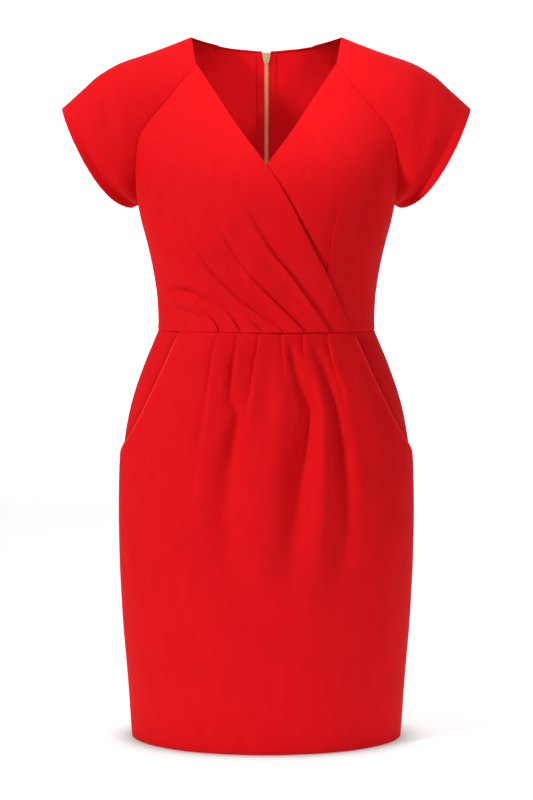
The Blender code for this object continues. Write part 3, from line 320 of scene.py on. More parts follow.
# ------------------------------------------------------------------ curves and surfaces
def curve(rows, value, by="z"):
    """Smooth curve through two columns that never overshoots a row."""
    order = np.argsort(rows[by])
    x, y = rows[by][order], rows[value][order]
    step = np.diff(x)
    slope = np.diff(y) / step
    tangent = np.concatenate([slope[:1], np.zeros(len(x) - 2), slope[-1:]])
    for i in range(1, len(x) - 1):
        if slope[i - 1] * slope[i] > 0:
            before, after = 2 * step[i] + step[i - 1], step[i] + 2 * step[i - 1]
            tangent[i] = (before + after) / (before / slope[i - 1] + after / slope[i])

    def at(q):
        q = np.clip(np.asarray(q, float), x[0], x[-1])
        i = np.clip(np.searchsorted(x, q, side="right") - 1, 0, len(x) - 2)
        t = (q - x[i]) / step[i]
        ends = (2 * t**3 - 3 * t**2 + 1) * y[i] + (3 * t**2 - 2 * t**3) * y[i + 1]
        return ends + step[i] * ((t**3 - 2 * t**2 + t) * tangent[i] + (t**3 - t**2) * tangent[i + 1])

    return at


def ease(t):
    """0 to 1 with a soft start and end."""
    t = np.clip(t, 0, 1)
    return t * t * (3 - 2 * t)


def unit(v):
    return v / np.maximum(np.linalg.norm(v, axis=-1, keepdims=True), 1e-12)


side_half = curve(SIDE, "half")
power_at = curve(ROUND, "power")
wrap_x = curve(WRAP, "x")
pocket_x = curve(POCKET, "x")
bag_inner = curve(BAG, "inner")
bag_outer = curve(BAG, "outer")
back_neck_z = curve(BACK_NECK, "z", by="x")


class Skin:
    """Front or back outer surface of the body: x follows an angle, y the depth, at any level."""

    def __init__(self, facing, depth, seam):
        self.facing = facing
        self.depth = curve(depth, "depth")
        self.seam_x = curve(seam, "x")
        self.seam_y = curve(seam, "y")

    def half(self, z):
        z = np.asarray(z, float)
        up = np.maximum(z, UNDERARM)
        power = power_at(up)
        share = np.clip(self.seam_y(up) / self.depth(up), 0, 0.999)
        chest = self.seam_x(up) / (1 - share**power) ** (1 / power)
        return np.where(z > UNDERARM, chest, side_half(np.minimum(z, UNDERARM)))

    def angle(self, x, z):
        share = np.clip(np.abs(x) / self.half(z), 0, 1) ** (power_at(z) / 2)
        return np.sign(x) * np.arcsin(share)

    def base(self, angle, z):
        power = power_at(z)
        x = self.half(z) * np.sign(angle) * np.abs(np.sin(angle)) ** (2 / power)
        y = self.facing * self.depth(z) * np.maximum(np.cos(angle), 0) ** (2 / power)
        return np.stack([x, y, z + 0 * x], -1)

    def gauge(self, p):
        power = power_at(p[..., 2])
        across = np.abs(p[..., 0]) / self.half(p[..., 2])
        return across**power + np.abs(p[..., 1] / self.depth(p[..., 2])) ** power

    def normal(self, p):
        steps = 1e-5 * np.eye(3)
        return unit(np.stack([self.gauge(p + s) - self.gauge(p - s) for s in steps], -1))

    def at(self, angle, z, out=0.0):
        p = self.base(angle, z)
        return p + self.normal(p) * np.asarray(out)[..., None]


FRONT_SKIN = Skin(-1, FRONT, RAGLAN_FRONT)
BACK_SKIN = Skin(1, BACK, RAGLAN_BACK)


def seam_line(skin, top, count):
    """Points of a raglan seam at equal distances, from the neck to the underarm point."""
    z = np.linspace(top, UNDERARM, 1200)
    p = np.stack([skin.seam_x(z), skin.facing * skin.seam_y(z), z], -1)
    run = np.concatenate([[0], np.cumsum(np.linalg.norm(np.diff(p, axis=0), axis=1))])
    at = np.linspace(0, run[-1], count)
    return np.stack([np.interp(at, run, p[:, i]) for i in range(3)], -1)


SEAM_STEPS = 96
FRONT_SEAM = seam_line(FRONT_SKIN, float(RAGLAN_FRONT["z"].max()), SEAM_STEPS)
BACK_SEAM = seam_line(BACK_SKIN, float(RAGLAN_BACK["z"].max()), SEAM_STEPS)


def rows_of(*stops):
    """Levels from (level, rows up to the next stop) pairs, both ends included."""
    parts = [np.linspace(stops[i][0], stops[i + 1][0], stops[i][1], endpoint=False)
             for i in range(len(stops) - 1)]
    return np.concatenate(parts + [[stops[-1][0]]])


def beside(level, towards):
    """Close levels next to a seam at a level, on the side where the piece lies."""
    return level + towards * np.array([0.0, 0.0004, 0.0008, 0.0013, 0.0020, 0.0030])


def crowded(count, bias=1.9):
    """Shares from 0 to 1 that lie closer together near both ends."""
    p = np.linspace(0, 1, count)
    return 0.5 + 0.5 * np.tanh(bias * (2 * p - 1)) / math.tanh(bias)


def between(lines, counts):
    """Columns at each level, from lines of x or angle (one array per line), crowded at the lines."""
    parts = []
    for i, count in enumerate(counts):
        share = crowded(count + 1)[None, :-1]
        parts.append(lines[i][:, None] + share * (lines[i + 1] - lines[i])[:, None])
    return np.concatenate(parts + [lines[-1][:, None]], axis=1)


def track(path, z, left, right):
    """x of a fold line at each level. Above its last row it keeps its share of the width."""
    top = path["z"].max()
    at_top = float(curve(path, "x")(top))
    share = (at_top - left(top)) / (right(top) - left(top))
    return np.where(z > top, left(z) + share * (right(z) - left(z)), curve(path, "x")(z))


def fold_columns(folds, z, left, right, counts):
    """x of the columns at each level: crowded at the two edges and at every fold line."""
    lines = [left(z)]
    room = 0.02 * (right(z) - left(z))
    for path, _ in folds:
        lines.append(np.maximum(track(path, z, left, right), lines[-1] + room))
    return between(lines + [np.maximum(right(z), lines[-1])], counts)


def folded(folds, x, z, left, right, raised, up_reach, down_reach, hollow=0.0):
    """(height, sideways shift) in metres of folds; raised is the side that stands up.

    up_reach and down_reach say how far a fold reaches on its high and low side. The low side is
    deepest at the line itself, or at the distance hollow from it. All three are in mm."""
    total, shift = 0 * x, 0 * x
    near, swell_reach = 0.002, 5
    for path, heights in folds:
        line = track(path, z, left, right)
        slope = (track(path, z + near, left, right) - track(path, z - near, left, right)) / (2 * near)
        off = raised * (x - line) / np.sqrt(1 + slope**2) * 1000
        height = curve(heights, "height")(z) * (z <= heights["z"].max() + 1e-6)
        height = height * (z >= heights["z"].min() - 1e-3)
        soft = curve(heights, "soft")(z)
        on = ease((off + soft) / (2 * soft))
        swell = np.maximum(off, 0) / swell_reach
        up = 0.55 * np.exp(-np.maximum(off, 0) / up_reach) + 0.30 * swell * np.exp(1 - swell)
        low = np.maximum(-off, 0)
        down = np.exp(-low / down_reach)
        if hollow:
            down = 0.25 * np.exp(-low / down_reach) + 0.75 * low / hollow * np.exp(1 - low / hollow)
        total = total + height * (on * up - (1 - on) * down)
        sharp = np.clip(height / 2.0, 0, 1) * np.clip((2.4 - soft) / 1.2, 0, 1)
        # A sharp step leans over its low side, so that the cloth lies double there.
        tuck = sharp * np.sin(math.pi * np.clip(off / (2 * soft), -1, 1))
        shift = shift - raised * 1.5 * soft * tuck * np.sqrt(1 + slope**2)
    return total / 1000, shift / 1000


def creased(creases, x, z, aside=(0.0, 0.0)):
    """Height in metres of the soft troughs and ridges at (x, z).

    The paths follow the shaded flank of each. aside moves its middle off them, in half widths."""
    total = 0 * x
    for path in creases:
        nearest = np.full(x.shape, 1e9)
        height, spread = 0 * x, 1 + 0 * x
        path_x = path["x"] + aside[0] * path["spread"] / 1000
        path_z = path["z"] + aside[1] * path["spread"] / 1000
        for i in range(len(path_x) - 1):
            ax, az = path_x[i], path_z[i]
            dx, dz = path_x[i + 1] - ax, path_z[i + 1] - az
            t = np.clip(((x - ax) * dx + (z - az) * dz) / (dx * dx + dz * dz), 0, 1)
            away = np.hypot(x - ax - t * dx, z - az - t * dz)
            closer = away < nearest
            nearest = np.where(closer, away, nearest)
            tall = path["height"][i] + t * (path["height"][i + 1] - path["height"][i])
            wide = path["spread"][i] + t * (path["spread"][i + 1] - path["spread"][i])
            height = np.where(closer, tall, height)
            spread = np.where(closer, wide, spread)
        total = total + height * np.exp(-0.5 * (nearest * 1000 / spread) ** 2)
    return total / 1000


def uneven(x, z, phase=0.0):
    """Slight unevenness of ironed cloth, in metres."""
    waves = ((31, 17, 0.30), (-19, 43, 0.22), (57, 29, 0.14), (-71, 64, 0.10), (23, -88, 0.10))
    total = sum(size * np.sin(a * x * 2.1 + b * z * 1.3 + phase + 1.7 * a) for a, b, size in waves)
    return total / 1000


def over_out(x):
    return LAP * ease((x - LAP_FROM) / LAP_FADE)


def under_out(x, z):
    """The covered part is set in, by half as much at the waist seam."""
    hidden = (wrap_x(z) - x) / LAP_FADE
    room = LAP_ROOM * (1 - 0.5 * ease((-0.345 - z) / 0.034))
    return np.where(z <= V_POINT, -room * ease(hidden), 0)


def mirrored(grid):
    """The same panel on the other side of the body, still facing out."""
    return (grid * (-1, 1, 1))[:, ::-1]


def normals_of(grid):
    across = np.gradient(grid, axis=1)
    up = np.gradient(grid, axis=0)
    return unit(np.cross(across, up))


def run_from(grid, axis, end):
    """Distance along the rows or columns from one edge of the grid."""
    step = np.linalg.norm(np.diff(grid, axis=axis), axis=-1)
    run = np.cumsum(step, axis=axis)
    zero = np.zeros_like(np.take(run, [0], axis=axis))
    run = np.concatenate([zero, run], axis=axis)
    return run if end == 0 else np.take(run, [-1], axis=axis) - run


def seam_rolled(grid, edges):
    """Rolls the cloth in where it is sewn, so that each seam reads as a fine groove.

    Both sides of a seam move along the body's own normal, so that they still meet."""
    for axis, end in edges:
        line = np.take(grid, [-1 if end else 0], axis=axis)
        out = np.where(line[..., 1:2] < 0, FRONT_SKIN.normal(line), BACK_SKIN.normal(line))
        dip = WAIST_DIP if np.ptp(line[..., 2]) < 1e-3 else SEAM_DIP
        grid = grid - out * (dip * np.exp(-run_from(grid, axis, end) / SEAM_ROLL))[..., None]
    return grid


def turned(grid, normal, edge, turn):
    """Turns the cloth inside along one edge; turn is (depth, radius)."""
    axis, end = edge
    depth, radius = turn

    def edge_last(a):
        a = a.swapaxes(0, 1) if axis == 0 else a
        return a[:, ::-1] if end == 0 else a

    def restored(a):
        a = a[:, ::-1] if end == 0 else a
        return a.swapaxes(0, 1) if axis == 0 else a

    grid, normal = edge_last(grid), edge_last(normal)
    run = run_from(grid, 1, 1).mean(axis=0)
    back = [c for c in range(grid.shape[1] - 1, -1, -1) if radius * 0.4 < run[c] <= depth]
    last, out, n = grid[:, -1], unit(grid[:, -1] - grid[:, -2]), normal[:, -1]
    bend = [last + radius * (out * math.sin(a) - n * (1 - math.cos(a)))
            for a in np.linspace(0, math.pi, 7)[1:]]
    inner = [grid[:, c] - 2 * radius * normal[:, c] for c in back]
    points = np.concatenate([grid, np.stack(bend + inner, axis=1)], axis=1)
    inside = np.stack([n] * len(bend) + [normal[:, c] for c in back], axis=1)
    facing = np.concatenate([normal, inside], axis=1)
    return restored(points), restored(facing)


def made_up(grid, sewn, turns):
    """Panel with its sewn edges rolled in over their allowances and its free edges turned.

    sewn lists edges; turns lists (edge, turn) pairs."""
    grid = seam_rolled(grid, sewn)
    normal = normals_of(grid)
    for edge, turn in [(edge, SEAM_TURN) for edge in sewn] + list(turns):
        grid, normal = turned(grid, normal, edge, turn)
    return grid


# ------------------------------------------------------------------ pieces
def finished(obj, node):
    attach(obj, "dress")
    if node:
        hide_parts(node)
    return obj


def mesh_object(name, points, faces, material):
    mesh = bpy.data.meshes.new(name)
    mesh.from_pydata(np.asarray(points).tolist(), [], faces)
    mesh.polygons.foreach_set("use_smooth", [True] * len(mesh.polygons))
    mesh.materials.append(material)
    obj = bpy.data.objects.new(name, mesh)
    bpy.context.scene.collection.objects.link(obj)
    return obj


def painted_light_and_shade(name, grid):
    """Share from -1 to 1 of painted light and shade at each point: a painted highlight along the pocket
    edge and painted shade on the yoke beside it.
    """
    x, z = np.abs(grid[..., 0]), grid[..., 2]
    mouth = ease((WAIST - z) / 0.012) * ease((z - POCKET_END) / 0.010)
    # Painted highlight along the pocket edge of the skirt front.
    if name == "skirt_front_panel":
        return mouth * np.exp(-(((pocket_x(z) - x) / MOUTH_PAINTED_HIGHLIGHT) ** 2))
    # Painted shade on the hip yoke beside the pocket edge.
    if name.startswith("hip_yoke"):
        return -mouth * np.exp(-((np.maximum(x - pocket_x(z), 0) / MOUTH_PAINTED_SHADE) ** 2))
    return 0 * x


def cloth_piece(name, grid, material, wall=CLOTH):
    """Cloth of one thickness from a grid of points on its outer face."""
    rows, cols = grid.shape[:2]
    corner = np.arange(rows * cols).reshape(rows, cols)
    faces = np.stack([corner[:-1, :-1], corner[:-1, 1:], corner[1:, 1:], corner[1:, :-1]], -1)
    obj = mesh_object(name, grid.reshape(-1, 3), faces.reshape(-1, 4).tolist(), material)
    # Painted light and shade, kept on the mesh for the crepe's colour.
    share = obj.data.attributes.new("painted_light_and_shade", "FLOAT", "POINT")
    share.data.foreach_set("value", painted_light_and_shade(name, grid).reshape(-1))
    solid = obj.modifiers.new("cloth", "SOLIDIFY")
    solid.thickness = wall
    solid.offset = -1
    return obj


def armhole(skin, z):
    """Outermost angle of a bodice panel: the side seam, or the raglan seam above the underarm."""
    above = skin.angle(skin.seam_x(z), z)
    return np.where(z <= UNDERARM, math.pi / 2 + 0 * z, above)


def side_x(z):
    """x of the side seam, or of the raglan seam above the underarm."""
    return np.where(z <= UNDERARM, side_half(z), FRONT_SKIN.seam_x(z))


FRONT_ROWS = np.concatenate([beside(WAIST, 1),
                             rows_of((ABOVE_WAIST, 62), (-0.290, 34), (UNDERARM, 1))[:-1],
                             FRONT_SEAM[::-1, 2][:-1], [-0.0375]])


def bodice_over():
    """Wearer's right front, from the side to the wrap edge."""
    def left(z):
        return -side_x(z)

    z = FRONT_ROWS
    x = fold_columns(DRAPES, z, left, wrap_x, (22, 16, 16, 16, 18, 20, 26))
    level = z[:, None] + 0 * x
    angle = FRONT_SKIN.angle(x, level)
    angle[:, 0] = -armhole(FRONT_SKIN, z)
    lift, shift = folded(DRAPES, x, level, left, wrap_x, raised=-1, up_reach=9.0, down_reach=9.0,
                         hollow=5.0)
    soft = creased(DRAPE_CREASES, x, level, aside=(0.5, 0.5)) + uneven(x, level)
    edge = ease((wrap_x(level) - x) / EDGE_FADE) * ease((x - left(level)) / EDGE_FADE)
    free = np.exp(-(((level - BUST) / 0.040) ** 2)) * ease(1 - (wrap_x(level) - x) / 0.030)
    angle = FRONT_SKIN.angle(FRONT_SKIN.base(angle, level)[..., 0] + shift * edge, level)
    angle[:, 0] = -armhole(FRONT_SKIN, z)
    grid = FRONT_SKIN.at(angle, level, over_out(x) + (lift + soft) * edge + WRAP_LIFT * free)
    return made_up(grid, (FIRST, BOTTOM), ((LAST, WRAP_TURN),))


def bodice_under():
    """Wearer's left front, from its covered edge to the side."""
    def left(z):
        return -wrap_x(z)

    z = FRONT_ROWS
    x = fold_columns(DART, z, left, side_x, (84, 44))
    level = z[:, None] + 0 * x
    soft = creased(UNDER_CREASES, x, level) + uneven(x, level, 2.0)
    past = np.maximum(x - wrap_x(level), 0)
    soft = soft - (WRAP_HOLLOW * np.exp(-((past / 0.005) ** 2)) * ease((V_POINT - level) / 0.03)
                   * ease((level - WAIST) / 0.008))
    lift, shift = folded(DART, x, level, left, side_x, raised=1, up_reach=7.0, down_reach=6.0)
    edge = ease((x + wrap_x(level)) / EDGE_FADE) * ease((side_x(level) - x) / EDGE_FADE)
    angle = FRONT_SKIN.angle(x + shift * edge, level)
    angle[:, 0] = FRONT_SKIN.angle(-wrap_x(z), z)
    angle[:, -1] = armhole(FRONT_SKIN, z)
    grid = FRONT_SKIN.at(angle, level, under_out(x, level) + (soft + lift) * edge)
    return made_up(grid, (LAST, BOTTOM), ((FIRST, WRAP_TURN),))


def back_level(z, x):
    """Level of a row at x, bent so that the top row follows the back neck."""
    share = np.maximum(z - UNDERARM, 0) / (BACK_SEAM[0, 2] - UNDERARM)
    return z + share * (back_neck_z(x) - BACK_SEAM[0, 2])


def bodice_back():
    """Wearer's left half. Its columns run from the side to the centre back."""
    outer_z = np.concatenate([beside(WAIST, 1), rows_of((ABOVE_WAIST, 74), (UNDERARM, 1))[:-1],
                              BACK_SEAM[::-1, 2]])
    share = crowded(90)[None, :]
    neck_half = BACK_NECK["x"].max()
    guess = back_level(outer_z[:, None], TAPE_OUT + (1 - share) * (neck_half - TAPE_OUT))
    level = np.where(share > 0.999, back_level(outer_z[:, None], OPENING), guess)
    outer = armhole(BACK_SKIN, outer_z)[:, None]
    inner = BACK_SKIN.angle(ZIP_EDGE, level)
    angle = outer + share * (inner - outer)
    x = BACK_SKIN.base(angle, level)[..., 0]
    soft = (creased(BACK_CREASES, x, level) + uneven(x, level, 4.0)) * ease((x - OPENING) / 0.03)
    reach = np.where(level <= UNDERARM, side_half(level), BACK_SKIN.seam_x(level))
    grid = BACK_SKIN.at(angle, level, soft * ease((reach - x) / EDGE_FADE))
    return made_up(grid, (FIRST, BOTTOM), ((LAST, ZIP_TURN), (TOP, NECK_TURN)))


def sleeve():
    """Wearer's left sleeve: rows from the cuff to the neck edge, columns from front to back."""
    keys = {name: curve(SLEEVE, name, by="v") for name in SLEEVE if name != "v"}
    more = {name: curve(BACK_NECK_EASE, name, by="v") for name in BACK_NECK_EASE if name != "v"}
    seamed = np.linspace(0, UNDERARM_STATION, SEAM_STEPS)
    stations = np.concatenate([seamed, [0.945, 0.96, 0.98, 1.0]])[::-1]
    t = np.concatenate([[0.0], np.linspace(0, 1, 52)[1:] ** 1.25])[:, None]
    rows = []
    for v in stations:
        ridge = np.array([float(keys["ridge_x"](v)), 0, float(keys["ridge_z"](v))])
        halves = []
        for facing, seams in ((-1, FRONT_SEAM), (1, BACK_SEAM)):
            seam = seams[min(round(v / UNDERARM_STATION * (SEAM_STEPS - 1)), SEAM_STEPS - 1)]
            if v > UNDERARM_STATION:
                down = (v - UNDERARM_STATION) / (1 - UNDERARM_STATION)
                seam = seam + down * (np.array([CUFF_UNDER[0], 0, CUFF_UNDER[1]]) - seam)
            h0, h1 = (np.array([float(keys[end + i](v) + (facing > 0) * more[end + i](v)) for i in "xyz"])
                      * (1, -facing, 1) for end in ("h0", "h1"))
            halves.append((1 - t)**3 * seam + 3 * (1 - t)**2 * t * (seam + h0)
                          + 3 * (1 - t) * t**2 * (ridge + h1) + t**3 * ridge)
        rows.append(np.concatenate([halves[0], halves[1][::-1][1:]]))
    grid = np.array(rows)
    v = stations[:, None]
    around = np.concatenate([t[:, 0] - 1, 1 - t[:, 0][::-1][1:]])[None, :]
    soft = 0
    for i in range(len(SLEEVE_FOLDS["v"])):
        fold = {name: column[i] for name, column in SLEEVE_FOLDS.items()}
        centre = fold["facing"] * (1 - fold["t"])
        along = ((v - fold["v"]) / fold["v_spread"]) ** 2
        across = ((around - centre) / fold["t_spread"]) ** 2
        soft = soft + fold["height"] / 1000 * np.exp(-along - across)
    edge = ease((1 - np.abs(around)) / 0.10) * ease(v / 0.08)
    grid = grid + normals_of(grid) * (soft * edge)[..., None]
    return made_up(grid, (FIRST, LAST), ((BOTTOM, CUFF_TURN), (TOP, NECK_TURN)))


def skirt_edge(z):
    """Half width of the skirt front: to the pocket edge, and to the side seam below it."""
    return np.where(z > POCKET_END, pocket_x(z), side_half(z))


def side_set_in(z):
    """How far the side seam lies inside the body along the hip yoke."""
    down = ease((WAIST - z) / (WAIST - POCKET_END))
    return np.where(z > POCKET_END, 0.0004 + 0.0034 * down, 0.0)


SKIRT_ROWS = np.concatenate([rows_of((HEM_FOLD, 34), (-0.700, 60), (-0.520, 70), (BELOW_WAIST, 1)),
                             beside(WAIST, -1)[::-1]])


def skirt_front():
    def left(z):
        return -skirt_edge(z)

    z = SKIRT_ROWS
    x = fold_columns(PLEATS, z, left, skirt_edge, (24, 16, 16, 16, 16, 16, 24))
    level = z[:, None] + 0 * x
    from_edge = skirt_edge(level) - np.abs(x)
    edge = ease(from_edge / 0.015)
    lift, shift = folded(PLEATS, x, level, left, skirt_edge, raised=1, up_reach=10.0, down_reach=7.0)
    soft = creased(SKIRT_CREASES, x, level, aside=(0.75, 0.0)) + uneven(x, level, 1.0)
    mouth = ease((WAIST - level) / 0.020) * ease((level - POCKET_END) / 0.012)
    stand = MOUTH_STAND * mouth * np.exp(-((from_edge / MOUTH_REACH) ** 2))
    angle = FRONT_SKIN.angle(x + shift * edge, level)
    whole = z <= POCKET_END
    angle[whole, 0] = -math.pi / 2
    angle[whole, -1] = math.pi / 2
    grid = FRONT_SKIN.at(angle, level, (lift + soft) * edge + stand)
    return made_up(grid, (TOP,), ((FIRST, POCKET_TURN), (LAST, POCKET_TURN), (BOTTOM, HEM_TURN)))


def centre_back(z):
    """x of the skirt's centre-back edge: along the zip, then a seam just below its end."""
    closing = 0.010
    return ZIP_EDGE * ease((z - (ZIP_END - closing)) / closing)


def skirt_back():
    """Wearer's left half. Its columns run from the side to the centre back."""
    z = np.concatenate([rows_of((HEM_FOLD, 40), (-0.640, 20), (-0.567, 10), (-0.553, 60), (BELOW_WAIST, 1)),
                        beside(WAIST, -1)[::-1]])
    angle = between([math.pi / 2 + 0 * z, BACK_SKIN.angle(centre_back(z), z)], (90,))
    level = z[:, None] + 0 * angle
    x = BACK_SKIN.base(angle, level)[..., 0]
    soft = creased(SKIRT_BACK_CREASES, x, level) + uneven(x, level, 3.0)
    edge = ease((x - centre_back(level)) / 0.02) * ease((side_half(level) - x) / EDGE_FADE)
    at_side = side_set_in(level) * (1 - ease((side_half(level) - x) / 0.022))
    grid = BACK_SKIN.at(angle, level, soft * edge - at_side)
    return made_up(grid, (FIRST, TOP), ((LAST, ZIP_TURN), (BOTTOM, HEM_TURN)))


def hip_yoke():
    """Wearer's left: the part that shows at the pocket edge and the plain bag behind the front."""
    z = np.concatenate([rows_of((-0.600, 12), (-0.556, 6), (POCKET_END, 70), (BELOW_WAIST, 1)),
                        beside(WAIST, -1)[::-1]])
    outer = np.where(bag_outer(z) > 0, FRONT_SKIN.angle(side_half(z) - bag_outer(z), z),
                     math.pi / 2 + 0 * z)
    angle = between([FRONT_SKIN.angle(bag_inner(z), z), outer], (60,))
    level = z[:, None] + 0 * angle
    x = FRONT_SKIN.base(angle, level)[..., 0]
    edge = skirt_edge(level)
    at_side = side_set_in(np.maximum(level, POCKET_END + 1e-6))
    open_part = level > POCKET_END
    from_side = side_half(level) - x
    across = np.where(open_part, ease(from_side / np.maximum(side_half(level) - edge, 0.004)), 1)
    # Below the pocket edge the whole bag lies behind the skirt front.
    bag_fade = 0.035
    behind = np.where(open_part, ease((edge - x) / bag_fade), ease(from_side / bag_fade)) * BAG_SET
    out = -(at_side + (YOKE_SET - at_side) * across + behind) - 0.0004 * ~open_part
    grid = FRONT_SKIN.at(angle, level, out)
    return made_up(grid, (LAST, TOP), ())


# ------------------------------------------------------------------ zip
def zip_tape():
    z = np.concatenate([rows_of((ZIP_END - 0.012, 90), (WAIST, 1))[:-1],
                        rows_of((WAIST, 90), (-0.0150, 1))])
    x = between([TAPE_OUT + 0 * z, TAPE_IN + 0 * z], (10,))
    level = z[:, None] + 0 * x
    return BACK_SKIN.at(BACK_SKIN.angle(x, level), level, -TAPE_SET + 0 * x)


def along_back(z):
    """Points and outward normals down the centre back."""
    p = BACK_SKIN.base(0 * z, z)
    return p, BACK_SKIN.normal(p)


# Outline of one tooth across and along the chain, in mm, from its nose to its heel and back.
TOOTH_NOSE, TOOTH_HEEL = -0.30, 2.95
TOOTH = ((TOOTH_NOSE, -0.62), (1.10, -0.62), (1.90, -0.45), (2.75, -0.45), (TOOTH_HEEL, 0.0),
         (2.75, 0.45), (1.90, 0.45), (1.10, 0.62), (TOOTH_NOSE, 0.62))
# Its layers from the inside out: how far the outline is drawn in, and the height, in mm.
TOOTH_LAYERS = ((0.16, -0.9), (0.0, -0.62), (0.0, 0.62), (0.16, 0.9))


def zip_teeth(material):
    points, faces = [], []
    slider_length = 0.0060
    for i in np.arange(0, (SLIDER_TOP - slider_length - ZIP_END) / TOOTH_PITCH * 2):
        z = ZIP_END + 0.001 + i * TOOTH_PITCH / 2
        side = 1 if i % 2 else -1
        p, n = along_back(z)
        up = np.array([0, n[2], -n[1]])
        up = up * np.sign(up[2])
        centre = p - n * (TAPE_SET + CHAIN_SET)
        start = len(points)
        for inset, depth in TOOTH_LAYERS:
            for x, along in TOOTH:
                x = min(max(x, TOOTH_NOSE + inset), TOOTH_HEEL - inset)
                along = along * (1 - inset)
                points.append(centre + np.array([side * x / 1000, 0, 0]) + up * along / 1000
                              + n * depth / 1000)
        count = len(TOOTH)
        for ring in range(len(TOOTH_LAYERS) - 1):
            for k in range(count):
                a, b = start + ring * count + k, start + ring * count + (k + 1) % count
                faces.append((a, b, b + count, a + count) if side > 0 else (b, a, a + count, b + count))
        low = [start + k for k in range(count)]
        high = [start + 3 * count + k for k in range(count)]
        faces.append(tuple(low[::-1] if side > 0 else low))
        faces.append(tuple(high if side > 0 else high[::-1]))
    return mesh_object("zip_teeth", points, faces, material)


# Rings of one stitch: place along it, thickness and rise, as shares of half its length and of
# STITCH_THICK.
STITCH_RINGS = ((-1.0, 0.25, -0.8), (-0.72, 0.85, 0.0), (0.0, 1.0, 0.55), (0.72, 0.85, 0.0),
                (1.0, 0.25, -0.8))


def stitches(points, normals):
    """Points and faces of a row of stitches along a line on the cloth."""
    run = np.concatenate([[0], np.cumsum(np.linalg.norm(np.diff(points, axis=0), axis=1))])
    last_ring = len(STITCH_RINGS) - 1
    out_points, faces = [], []
    for centre in np.arange(STITCH_PITCH * 0.7, run[-1] - STITCH_PITCH * 0.5, STITCH_PITCH):
        here = np.array([np.interp(centre, run, points[:, i]) for i in range(3)])
        ahead = np.array([np.interp(centre + 0.001, run, points[:, i]) for i in range(3)])
        n = unit(np.array([np.interp(centre, run, normals[:, i]) for i in range(3)]))
        along = unit(ahead - here)
        side = np.cross(along, n)
        start = len(out_points)
        for t, size, lift in STITCH_RINGS:
            middle = here + along * t * STITCH_LENGTH / 2 + n * lift * STITCH_THICK
            for k in range(STITCH_SIDES):
                a = 2 * math.pi / STITCH_SIDES * k
                out_points.append(middle + size * STITCH_THICK * (side * math.cos(a) + n * math.sin(a)))
        for ring in range(last_ring):
            for k in range(STITCH_SIDES):
                a = start + ring * STITCH_SIDES + k
                b = start + ring * STITCH_SIDES + (k + 1) % STITCH_SIDES
                faces.append((b, a, a + STITCH_SIDES, b + STITCH_SIDES))
        faces.append(tuple(start + k for k in range(STITCH_SIDES)))
        faces.append(tuple(start + last_ring * STITCH_SIDES + k for k in range(STITCH_SIDES - 1, -1, -1)))
    return out_points, faces


def zip_stitches(name, side, material):
    """The row that holds a tape to the back, as it shows on the tape and on the outside."""
    z = rows_of((ZIP_END + 0.002, 260), (-0.0170, 1))
    points, faces = [], []
    angle = BACK_SKIN.angle(TAPE_SEAM + 0 * z, z)
    for facing, out in ((-1, -TAPE_SET - TAPE_CLOTH), (1, 0.0)):
        line = BACK_SKIN.at(angle, z, out + 0 * z) * (side, 1, 1)
        normal = facing * BACK_SKIN.normal(BACK_SKIN.base(angle, z)) * (side, 1, 1)
        row_points, row_faces = stitches(line, normal)
        faces += [tuple(len(points) + k for k in face) for face in row_faces]
        points += row_points
    return mesh_object(name, points, faces, material)


# ------------------------------------------------------------------ finishes
class Value:
    """A number that varies over a surface. An expression on values adds its Math nodes."""

    def __init__(self, finish, socket):
        self.finish = finish
        self.socket = socket

    def maths(self, operation, first, second=None):
        inputs = {0: first} if second is None else {0: first, 1: second}
        return self.finish.node("ShaderNodeMath", {"operation": operation}, inputs)

    def __add__(self, other):
        return self.maths("ADD", self, other)

    def __radd__(self, other):
        return self.maths("ADD", other, self)

    def __sub__(self, other):
        return self.maths("SUBTRACT", self, other)

    def __rsub__(self, other):
        return self.maths("SUBTRACT", other, self)

    def __mul__(self, other):
        return self.maths("MULTIPLY", self, other)

    def __rmul__(self, other):
        return self.maths("MULTIPLY", other, self)

    def __truediv__(self, other):
        return self.maths("DIVIDE", self, other)

    def __pow__(self, other):
        return self.maths("POWER", self, other)

    def clipped(self):
        return self.finish.node("ShaderNodeClamp", {}, {0: self})


class Finish:
    """One material: its shader and the nodes that feed it."""

    def __init__(self, name, color, **shader):
        self.material = bpy.data.materials.new(name)
        self.material.use_nodes = True
        self.material.diffuse_color = (*color, 1)
        self.tree = self.material.node_tree
        self.shader = self.tree.nodes["Principled BSDF"]
        self.shader.inputs["Base Color"].default_value = (*color, 1)
        for name, value in shader.items():
            self.shader.inputs[name.replace("_", " ")].default_value = value

    def node(self, kind, settings=None, inputs=None, output=0):
        node = self.tree.nodes.new(kind)
        for name, value in (settings or {}).items():
            setattr(node, name, value)
        for key, value in (inputs or {}).items():
            self.feed(node.inputs[key], value)
        return Value(self, node.outputs[output])

    def feed(self, socket, value):
        if isinstance(value, Value):
            self.tree.links.new(value.socket, socket)
        else:
            socket.default_value = value

    def place(self):
        return self.node("ShaderNodeTexCoord", output="Object")

    def noise(self, scale, detail=2.0, rough=0.5, stretch=(1, 1, 1)):
        at = self.node("ShaderNodeMapping", {}, {"Vector": self.place(), "Scale": stretch})
        return self.node("ShaderNodeTexNoise", {}, {"Vector": at, "Scale": scale, "Detail": detail,
                                                    "Roughness": rough})

    def mixed(self, share, first, second):
        inputs = {0: share, 6: first, 7: second}
        return self.node("ShaderNodeMix", {"data_type": "RGBA"}, inputs, output=2)

    def bump(self, height, distance, strength):
        inputs = {"Height": height, "Distance": distance, "Strength": strength}
        return self.node("ShaderNodeBump", {}, inputs)

    def set(self, **links):
        for name, value in links.items():
            self.feed(self.shader.inputs[name.replace("_", " ")], value)
        return self.material


